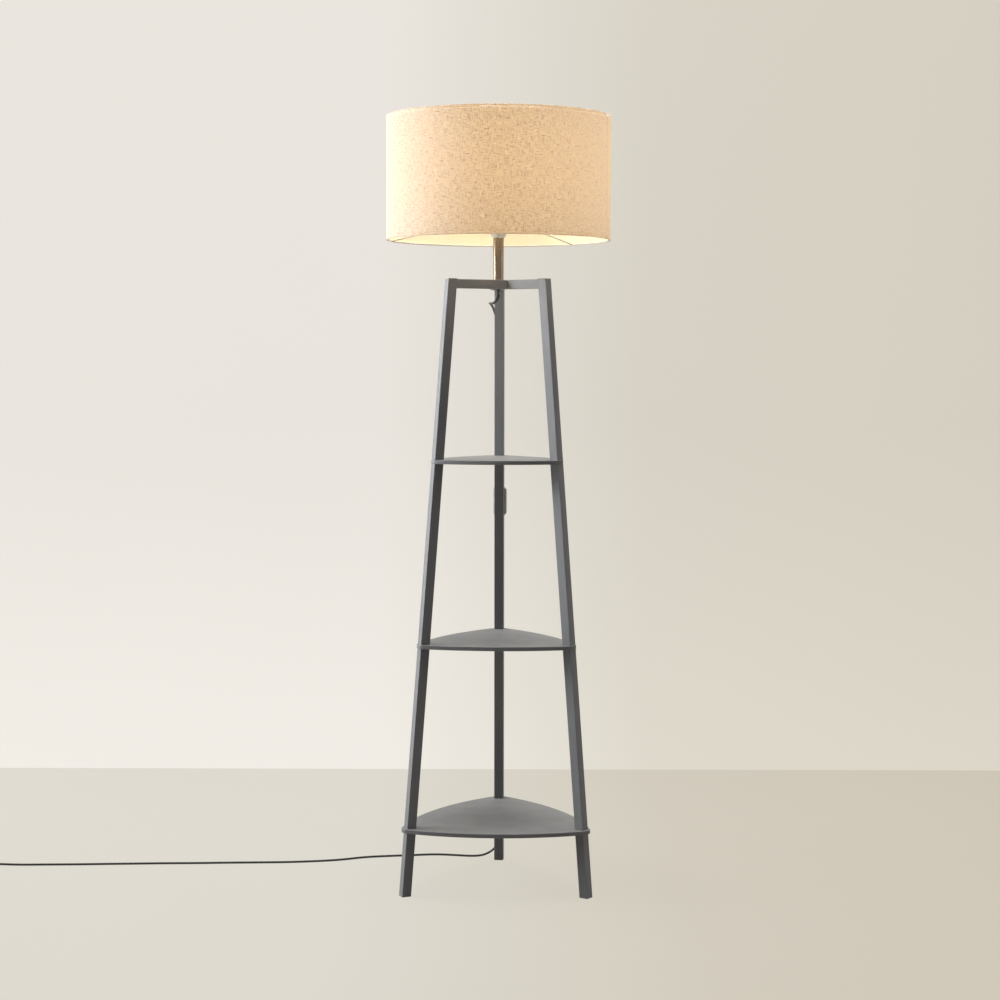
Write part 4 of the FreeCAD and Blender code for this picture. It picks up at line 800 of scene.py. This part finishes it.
def mesh_from(name: str, work: bmesh.types.BMesh) -> Mesh:
    """Turns a finished bmesh into a smooth mesh with outward normals.

    Args:
        name: The mesh's name.
        work: The bmesh, which is freed.

    Returns:
        The mesh.
    """
    bmesh.ops.recalc_face_normals(work, faces=work.faces)
    mesh = bpy.data.meshes.new(name)
    work.to_mesh(mesh)
    work.free()
    mesh.polygons.foreach_set("use_smooth", [True] * len(mesh.polygons))
    return mesh


def wear(node: str, material: Material) -> None:
    """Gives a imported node's object a material, on the object's own slots.

    Args:
        node: The node's name.
        material: What it wears.
    """
    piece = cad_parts[node]
    if not piece.material_slots:
        piece.data.materials.append(material)
    for place in piece.material_slots:
        place.link = "OBJECT"
        place.material = material


# ------------------------------------------------------------------ camera and light
@dataclass(frozen=True)
class SoftLamp:
    """A square soft lamp that looks at a point, with its power in watts and its beam in degrees."""

    name: str
    place: Point
    aim: Point
    size: float
    power: float
    tint: Point
    beam: float = 180.0

    def hang(self, kept_off: Sequence[Object] = ()) -> None:
        """Adds the lamp.

        Args:
            kept_off: The pieces that its light is flagged off, as on a photographer's set.
        """
        data = bpy.data.lights.new(self.name, "AREA")
        data.spread = math.radians(self.beam)
        data.shape = "SQUARE"
        data.size = self.size
        data.energy = self.power
        data.color = self.tint
        lamp = bpy.data.objects.new(self.name, data)
        lamp.location = self.place
        lamp.rotation_euler = (Vector(self.aim) - Vector(self.place)).to_track_quat("-Z", "Y").to_euler()
        bpy.context.scene.collection.objects.link(lamp)
        if kept_off:
            flag = bpy.data.collections.new(self.name + " flag")
            for piece in kept_off:
                flag.objects.link(piece)
            for entry in flag.collection_objects:
                entry.light_linking.link_state = "EXCLUDE"
            lamp.light_linking.receiver_collection = flag


@dataclass
class Studio:
    """The camera, the pale room and its soft light."""

    distance: float = 4.155
    eye_level: float = 1.0623
    turn: float = 0.0235
    side_look: float = 0.0011
    down_look: float = 0.0665
    roll: float = 0.0029
    sensor_width: float = 36.0
    focal_share: float = 2.063
    far_clip: float = 60.0
    wall_distance: float = 1.19
    floor_drop: float = 0.0003
    half_width: float = 9.0
    wall_half_height: float = 3.0
    tone_half_width: float = 1.9
    soft_light: Colour = srgb(244, 240, 234)
    soft_strength: float = 0.07
    shown_light: Colour = srgb(207, 203, 195)

    def add_camera(self) -> None:
        """Places the camera where the photographer stood."""
        data = bpy.data.cameras.new("camera")
        data.sensor_width = self.sensor_width
        data.lens = self.focal_share * data.sensor_width
        data.clip_end = self.far_clip
        camera = bpy.data.objects.new("camera", data)
        camera.location = (
            self.distance * math.sin(self.turn),
            -self.distance * math.cos(self.turn),
            self.eye_level,
        )
        look_turn = self.side_look - self.turn
        look = Vector((
            math.sin(look_turn) * math.cos(self.down_look),
            math.cos(look_turn) * math.cos(self.down_look),
            -math.sin(self.down_look),
        ))
        level = look.to_track_quat("-Z", "Y")
        camera.rotation_euler = (level @ Quaternion((0.0, 0.0, 1.0), self.roll)).to_euler()
        bpy.context.scene.collection.objects.link(camera)
        bpy.context.scene.camera = camera

    def add_room(self) -> None:
        """Lays the floor and stands the wall, both outside the object."""
        floor_look = BackdropFinish(
            "pale floor", srgb(230, 226, 215), srgb(218, 211, 196), srgb(211, 203, 186),
            self.tone_half_width, own_light=0.86, diffuse=srgb(160, 156, 149), opaque_behind=True,
        )
        wall_look = BackdropFinish(
            "pale wall", srgb(236, 231, 224), srgb(217, 212, 199), srgb(214, 207, 193),
            self.tone_half_width, own_light=0.94, diffuse=srgb(205, 200, 190), opaque_behind=False,
            half_height=self.wall_half_height, low_lift=0.1,
        )
        floor_shape = self._plane("floor", self.half_width, self.half_width)
        floor = add_piece("floor", floor_shape, floor_look.build())
        floor.location = (0.0, 0.0, -self.floor_drop)
        floor.rotation_euler = (0.0, 0.0, self.turn)
        wall_shape = self._plane("wall", self.half_width, self.wall_half_height)
        wall = add_piece("wall", wall_shape, wall_look.build())
        wall.location = (
            -self.wall_distance * math.sin(self.turn),
            self.wall_distance * math.cos(self.turn),
            self.wall_half_height - self.floor_drop,
        )
        wall.rotation_euler = (math.pi / 2, 0.0, self.turn)
        wall.visible_shadow = False
        wall.visible_diffuse = False

    @staticmethod
    def _plane(name: str, half_wide: float, half_long: float) -> Mesh:
        """Makes a flat rectangle about its own middle.

        Args:
            name: The mesh's name.
            half_wide: Half its width.
            half_long: Half its length.

        Returns:
            The mesh.
        """
        work = bmesh.new()
        ways = ((-1, -1), (1, -1), (1, 1), (-1, 1))
        work.faces.new([work.verts.new((half_wide * wide, half_long * far, 0)) for wide, far in ways])
        mesh = bpy.data.meshes.new(name)
        work.to_mesh(mesh)
        work.free()
        return mesh

    def add_light(self, shaded: Sequence[Object]) -> None:
        """Sets the soft lamps and the world's even light.

        Args:
            shaded: The pieces that the upper lamp is kept off, beside the back leg's lower ones.
        """
        lower_back = [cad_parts[node] for node in ("back_foot", "back_lower_leg", "back_middle_leg")]
        SoftLamp(
            "window light", (-3.25, 0.6, 1.3), (0.0, 0.0, 0.85), 2.2, 124.0, (0.965, 0.985, 1.0)
        ).hang()
        SoftLamp(
            "upper window light", (-2.84, -0.6, 2.1), (0.0, 0.0, 1.35), 0.9, 7.6, (0.98, 0.99, 1.0), 45.0
        ).hang([*shaded, *lower_back])
        SoftLamp("front fill", (-0.4, -4.4, 2.2), (0.0, 0.0, 0.8), 2.4, 1.0, (0.97, 0.985, 1.0)).hang()
        SoftLamp("right fill", (3.6, 0.2, 1.6), (0.0, 0.0, 0.8), 2.2, 16.0, (1.0, 0.98, 0.95)).hang()
        SoftLamp("top light", (0.1, 0.0, 3.6), (0.0, 0.0, 0.6), 2.0, 92.0, (1.0, 0.99, 0.98)).hang()
        world = bpy.data.worlds.new("room light")
        world.use_nodes = True
        world.node_tree.nodes.clear()
        graph = Graph(world.node_tree)
        soft = graph.node("ShaderNodeBackground", {0: self.soft_light, 1: self.soft_strength}).outputs[0]
        shown = graph.node("ShaderNodeBackground", {0: self.shown_light, 1: 1.0}).outputs[0]
        mixed = graph.node("ShaderNodeMixShader", {0: graph.shown_rays(), 1: soft, 2: shown}).outputs[0]
        graph.node("ShaderNodeOutputWorld", {0: mixed})
        bpy.context.scene.world = world
        bpy.context.scene.view_settings.view_transform = "Standard"


# ------------------------------------------------------------------ cords
@dataclass
class CordRun:
    """A stretch of round mains cord on one smooth line."""

    name: str
    points: Sequence[Point]
    nodes: Sequence[str]
    radius: float = 0.00225

    def build(self, material: Material) -> Object:
        """Makes the cord and puts it in place of its solids.

        Args:
            material: The jacket's material.

        Returns:
            The curve's object.
        """
        curve = bpy.data.curves.new(self.name, "CURVE")
        curve.dimensions = "3D"
        line = curve.splines.new("NURBS")
        line.points.add(len(self.points) - 1)
        for knot, place in zip(line.points, self.points):
            knot.co = (*place, 1.0)
        line.order_u = 3
        line.use_endpoint_u = True
        line.use_smooth = True
        curve.resolution_u = 8
        curve.bevel_depth = self.radius
        curve.bevel_resolution = 5
        curve.use_fill_caps = True
        cord = add_piece(self.name, curve, material)
        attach(cord, Body.LAMP.value)
        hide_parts(*self.nodes)
        LOG.info("%s: %d points for %s", self.name, len(self.points), ", ".join(self.nodes))
        return cord


@dataclass
class MainsCord:
    """The cord from the lampholder to the plug: two held stretches and the free one."""

    outer_radius: float = 0.030
    turn_step: float = 0.005
    layer_step: float = 0.005
    first_level: float = 0.00365
    entry: tuple[float, float] = (-1.112, 0.1095)
    entry_bearing: float = 184.5
    climb_start: float = 2.0
    climb_turns: float = 0.5
    turns: float = 4.25
    knots_per_turn: int = 16
    lead_in: float = 0.044
    lead_out: float = 0.015
    relief_length: float = 0.024
    diameter: float = 0.0045
    free_length: float = 1.82

    def held_above_switch(self) -> Sequence[Point]:
        """The points from the lampholder to the switch."""
        return (
            (0.0, 0.0, 1.3230), (0.0, 0.0, 1.1976), (-0.0036, 0.0037, 1.1868), (-0.0099, 0.0114, 1.1812),
            (-0.0160, 0.0225, 1.1808), (-0.0188, 0.0375, 1.1824), (-0.0169, 0.0562, 1.1814),
            (-0.0147, 0.0779, 1.1780), (-0.0132, 0.0989, 1.1748), (-0.0130, 0.1148, 1.1732),
            (-0.0105, 0.1313, 1.1661), (-0.0049, 0.1358, 1.1476), (-0.0010, 0.1343, 1.1266),
            (0.0014, 0.1331, 1.1079), (0.0014, 0.1339, 1.0869), (0.0014, 0.1362, 1.0590),
            (0.0014, 0.1580, 0.7965),
        )

    def held_below_switch(self) -> Sequence[Point]:
        """The points from the switch to the last clip."""
        return (
            (0.0014, 0.1619, 0.7501), (0.0014, 0.2064, 0.2140), (0.0014, 0.2086, 0.1873),
            (0.0019, 0.2174, 0.1478), (0.0019, 0.2197, 0.1198), (0.0014, 0.2167, 0.0893),
            (0.0014, 0.2195, 0.0553),
        )

    def along_floor(self) -> Sequence[Point]:
        """The points from the last clip to the coil."""
        lie = self.diameter / 2
        return (
            (0.0014, 0.2195, 0.0553), (0.0014, 0.2209, 0.0393), (-0.0070, 0.2280, 0.0220),
            (-0.0200, 0.2305, 0.0095), (-0.0380, 0.2300, lie), (-0.0620, 0.2250, lie),
            (-0.0980, 0.2330, lie), (-0.1400, 0.2385, lie), (-0.1860, 0.2285, lie), (-0.2360, 0.2195, lie),
            (-0.2880, 0.2080, lie), (-0.3380, 0.1805, lie), (-0.3940, 0.1660, lie), (-0.4520, 0.1565, lie),
            (-0.5140, 0.1518, lie), (-0.5780, 0.1475, lie), (-0.6400, 0.1415, lie), (-0.7040, 0.1383, lie),
            (-0.7680, 0.1328, lie), (-0.8320, 0.1276, lie), (-0.8940, 0.1216, lie), (-0.9560, 0.1184, lie),
            (-1.0120, 0.1142, lie),
        )

    def coil_point(self, turns: float) -> Vector:
        """Follows the wound cord: inwards, up a layer and outwards.

        Args:
            turns: How many turns from the coil's start.

        Returns:
            The point there.
        """
        bearing = math.radians(self.entry_bearing + 90)
        inwards = Vector((math.cos(bearing), math.sin(bearing), 0.0))
        centre = Vector((*self.entry, 0.0)) + self.outer_radius * inwards
        reversal = self.climb_start + self.climb_turns / 2
        radius = self.outer_radius + self.turn_step * (abs(turns - reversal) - reversal)
        climb = min(max((turns - self.climb_start) / self.climb_turns, 0.0), 1.0)
        angle = math.radians(self.entry_bearing - 90) + 2 * math.pi * turns
        level = self.first_level + self.layer_step * climb
        return centre + Vector((radius * math.cos(angle), radius * math.sin(angle), level))

    def wound(self) -> list[Point]:
        """Winds the cord from its lead in to the plug.

        Returns:
            The points.
        """
        nudge = 0.001
        first, last = self.coil_point(0.0), self.coil_point(self.turns)
        way_in = (self.coil_point(nudge) - first).normalized()
        way_out = (last - self.coil_point(self.turns - nudge)).normalized()
        way_out.z = 0.0
        count = int(self.turns * self.knots_per_turn)
        turning = [tuple(self.coil_point(index / self.knots_per_turn)) for index in range(count + 1)]
        start = first - (self.lead_in + self.diameter) * way_in
        end = last + (self.lead_out + self.relief_length) * way_out.normalized()
        return [tuple(start), *turning, tuple(end)]

    def build(self, jacket: Material) -> None:
        """Args:
            jacket: What they wear.
        """
        CordRun("cord_above_switch", self.held_above_switch(), ["upper_cord"]).build(jacket)
        CordRun("cord_below_switch", self.held_below_switch(), ["lower_cord"]).build(jacket)
        route = [*self.along_floor(), *self.wound()]
        free = CordRun("mains_cord", route, ["floor_cord", "cord_coil"]).build(jacket)


# ------------------------------------------------------------------ shade
@dataclass
class DrumShade:
    """The linen drum: its wrapped cloth with the overlapped seam, and the two rolled hems."""

    low: float = 1.3058
    height: float = 0.2444
    inner_radius: float = 0.22372
    cloth_thickness: float = 0.0006
    seam_turn: float = -0.302
    seam_overlap: float = 0.014
    seam_ease: float = 0.008
    layer_gap: float = 0.0001
    ripple_height: float = 0.00012
    ripples_around: float = 2.4
    ripples_upright: float = 7.0
    hem_height: float = 0.0085
    hem_thickness: float = 0.0002
    hem_swell: float = 0.00008
    swells_around: float = 9.0
    columns: int = 420
    rows: int = 28

    @property
    def mean_radius(self) -> float:
        """The radius of the cloth's middle."""
        return self.inner_radius + self.cloth_thickness / 2

    @property
    def cut_width(self) -> float:
        """The width that the cloth was cut to."""
        return 2 * math.pi * self.mean_radius + self.seam_overlap

    def ripple(self, angle: float, level: float) -> float:
        """Gives how far the cloth stands off a true drum.

        Args:
            angle: Where it is read round the drum.
            level: Its height above the floor.

        Returns:
            The distance in metres.
        """
        around, upright = self.ripples_around, self.ripples_upright
        spot = Vector((around * math.cos(angle), around * math.sin(angle), upright * level))
        return self.ripple_height * (1.0 + noise.noise(spot))

    def build_cloth(self, material: Material) -> Object:
        """Makes the wrapped cloth in one strip whose end lies over its start.

        Args:
            material: What it wears.

        Returns:
            The cloth's object.
        """
        work = bmesh.new()
        grid: list[list[tuple[bmesh.types.BMVert, bmesh.types.BMVert]]] = []
        for column in range(self.columns + 1):
            along = self.cut_width * column / self.columns
            angle = self.seam_turn + along / self.mean_radius
            left = self.cut_width - self.seam_overlap - along
            lift = min(max(1.0 - left / self.seam_ease, 0.0), 1.0) * (self.cloth_thickness + self.layer_gap)
            way = Vector((math.cos(angle), math.sin(angle), 0.0))
            strip = []
            for row in range(self.rows + 1):
                level = self.low + self.height * row / self.rows
                radius = self.inner_radius + lift + self.ripple(angle, level)
                inner = work.verts.new(radius * way + Vector((0, 0, level)))
                outer = work.verts.new((radius + self.cloth_thickness) * way + Vector((0, 0, level)))
                strip.append((inner, outer))
            grid.append(strip)
        for here, there in zip(grid, grid[1:]):
            for row in range(self.rows):
                for side in (0, 1):
                    corners = (here[row], there[row], there[row + 1], here[row + 1])
                    work.faces.new([corner[side] for corner in corners])
            for row in (0, self.rows):
                work.faces.new((here[row][0], there[row][0], there[row][1], here[row][1]))
        for strip in (grid[0], grid[-1]):
            for row in range(self.rows):
                work.faces.new((strip[row][0], strip[row + 1][0], strip[row + 1][1], strip[row][1]))
        cloth = add_piece("shade_linen", mesh_from("shade_linen", work), material)
        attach(cloth, Body.LAMP.value)
        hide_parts("shade_fabric")
        LOG.info("shade linen: cut %.3f by %.3f m", self.cut_width, self.height)
        return cloth

    def build_hem(self, node: str, edge: float, inwards: float, material: Material) -> Object:
        """Makes one rolled hem, its turned edge round the rim.

        Args:
            node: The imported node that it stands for.
            edge: The level of the shade's edge.
            inwards: 1 where the hem runs up from the edge, -1 where it runs down.
            material: What it wears.

        Returns:
            The hem's object.
        """
        outer = self.inner_radius + self.cloth_thickness + self.layer_gap
        thick = self.hem_thickness
        # Each point is how far it lies outside the cloth, and how far in from the shade's edge.
        # They run along the outside to the edge, round it and back under the cloth.
        section = [
            (-0.0004, self.hem_height),
            (0.0, self.hem_height * 0.7),
            (thick * 0.5, self.hem_height * 0.4),
            (thick, 0.0014),
            (thick * 0.6, 0.0005),
            (-0.0002, 0.00005),
            (-0.0009, 0.0002),
            (-0.0014, 0.0008),
            (-0.0012, 0.0012),
            (-0.0002, 0.0010),
        ]
        work = bmesh.new()
        rings = []
        for column in range(self.columns):
            angle = 2 * math.pi * column / self.columns
            across, ahead = math.cos(angle), math.sin(angle)
            spot = Vector((self.swells_around * across, self.swells_around * ahead, edge))
            swollen = outer + self.hem_swell * noise.noise(spot)
            rings.append([
                work.verts.new(((swollen + out) * across, (swollen + out) * ahead, edge + inwards * rise))
                for out, rise in section
            ])
        for here, there in zip(rings, rings[1:] + rings[:1]):
            for index in range(len(section)):
                after = (index + 1) % len(section)
                work.faces.new((here[index], there[index], there[after], here[after]))
        name = node + "_roll"
        hem = add_piece(name, mesh_from(name, work), material)
        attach(hem, Body.LAMP.value)
        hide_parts(node)
        LOG.info("%s: rolled edge at %.4f m", name, edge)
        return hem

    def build(self, linen: Material) -> Sequence[Object]:
        """Args:
            linen: What the cloth and the hems wear.

        Returns:
            The cloth and its hems.
        """
        cloth = self.build_cloth(linen)
        hems = [
            self.build_hem("shade_bottom_hem", self.low, 1.0, linen),
            self.build_hem("shade_top_hem", self.low + self.height, -1.0, linen),
        ]
        return [cloth, *hems]


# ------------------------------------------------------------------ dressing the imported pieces
@dataclass
class Wardrobe:
    """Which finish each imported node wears."""

    effects: Effects

    def build(self) -> dict[str, Material]:
        """Makes each finish once.

        Returns:
            The materials, by the finish's short name.
        """
        seam = math.pi - DrumShade.seam_turn
        grey = srgb(122, 123, 126)
        finishes = {
            "frame": PaintFinish("satin grey paint", grey, 0.42, dust_and_light_amount=0.16),
            # The shelves' higher amount mainly paints light onto their tops.
            "shelf": PaintFinish("satin grey shelf paint", grey, 0.52, dust_and_light_amount=0.5, grain_scale=700.0),
            "nickel": MetalFinish("brushed nickel", srgb(128, 113, 97), 0.27),
            "zinc": MetalFinish("zinc plate", srgb(188, 190, 192), 0.35, fineness=500.0),
            "cap": MetalFinish("bright plate", srgb(206, 206, 208), 0.22, fineness=600.0),
            "brass": MetalFinish("plain brass", srgb(206, 170, 96), 0.3, fineness=600.0),
            "white": MouldedFinish("white moulding", srgb(236, 235, 230), 0.28, coat=0.3),
            "black": MouldedFinish("black moulding", srgb(30, 30, 31), 0.42),
            "jacket": MouldedFinish(
                "cord jacket", srgb(26, 26, 28), 0.5, grain_scale=1300.0, grain_strength=0.2
            ),
            "foam": MouldedFinish(
                "foam tape", srgb(222, 220, 212), 0.8, grain_scale=1100.0, grain_strength=0.5
            ),
            "wire": MouldedFinish("white coated wire", srgb(228, 224, 214), 0.4),
            "linen": LinenFinish("natural linen", srgb(209, 205, 199), 0.85, seam_angle=seam),
            "lining": GlowFinish("cream lining", srgb(228, 218, 199), 0.45, glow_strength=0.24),
            "bulb": GlowFinish(
                "frosted bulb", srgb(255, 248, 236), 0.35, glow_strength=3.0, transmission=0.2
            ),
            "beech": WoodFinish("plain beech", srgb(214, 178, 130), 0.55),
        }
        return {name: finish.build(self.effects) for name, finish in finishes.items()}

    @staticmethod
    def plan() -> dict[str, Sequence[str]]:
        """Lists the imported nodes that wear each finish.

        Returns:
            The nodes, by the finish's short name.
        """
        sides = ("left", "right", "back")
        lengths = ("foot", "lower_leg", "middle_leg", "upper_leg")
        return {
            "frame": [
                *(f"{side}_{length}" for side in sides for length in lengths),
                *(f"{side}_top_bar" for side in sides),
            ],
            "shelf": ["bottom_shelf", "middle_shelf", "top_shelf"],
            "nickel": ["stem_tube"],
            "zinc": [
                "bottom_shelf_studs", "middle_shelf_studs", "top_shelf_studs", "threaded_rod",
                "lock_washer", "lock_nut", "switch_screws",
            ],
            "cap": ["bulb_cap", "screw_shell", "plug_pins"],
            "brass": ["centre_contact", "switch_contacts"],
            "white": [
                "lampholder_skirt", "lampholder_body", "shade_clamp_ring", "switch_front_half",
                "switch_rear_half", "switch_rocker", "centring_rings",
            ],
            "black": [
                "cord_bushing", "cord_sleeve", "locking_screw", "terminal_block", "cord_clips", "coil_tie",
                "plug_body", "plug_relief",
            ],
            "foam": ["clip_pads"],
            "wire": ["shade_top_ring", "shade_carrier"],
            "lining": ["shade_liner"],
            "bulb": ["bulb_glass"],
            "beech": ["bar_dowels"],
        }

    def dress(self, materials: Mapping[str, Material]) -> None:
        """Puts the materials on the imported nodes.

        Args:
            materials: The materials, by the finish's short name.
        """
        for finish, nodes in self.plan().items():
            for node in nodes:
                wear(node, materials[finish])
            LOG.info("%s: %s", finish, ", ".join(nodes))


@dataclass
class LitBulb:
    """The light that the bulb throws inside the shade."""

    level: float = 1.4165
    power: float = 2.1
    size: float = 0.028
    tint: Point = (1.0, 0.83, 0.60)

    def build(self) -> None:
        """Adds the lamp inside the glass, which casts no shadow of its own."""
        data = bpy.data.lights.new("bulb light", "POINT")
        data.energy = self.power
        data.color = self.tint
        data.shadow_soft_size = self.size
        lamp = bpy.data.objects.new("bulb light", data)
        lamp.location = (0.0, 0.0, self.level)
        bpy.context.scene.collection.objects.link(lamp)
        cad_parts["bulb_glass"].visible_shadow = False


def main() -> None:
    """Builds the lamp's classes in order and reports each piece."""
    logging.basicConfig(level=logging.INFO, format="%(name)s: %(message)s")
    studio = Studio()
    studio.add_camera()
    wardrobe = Wardrobe(Effects())
    materials = wardrobe.build()
    MainsCord().build(materials["jacket"])
    shade = DrumShade().build(materials["linen"])
    wardrobe.dress(materials)
    LitBulb().build()
    studio.add_room()
    studio.add_light(shade)


if __name__ == "__main__":
    main()
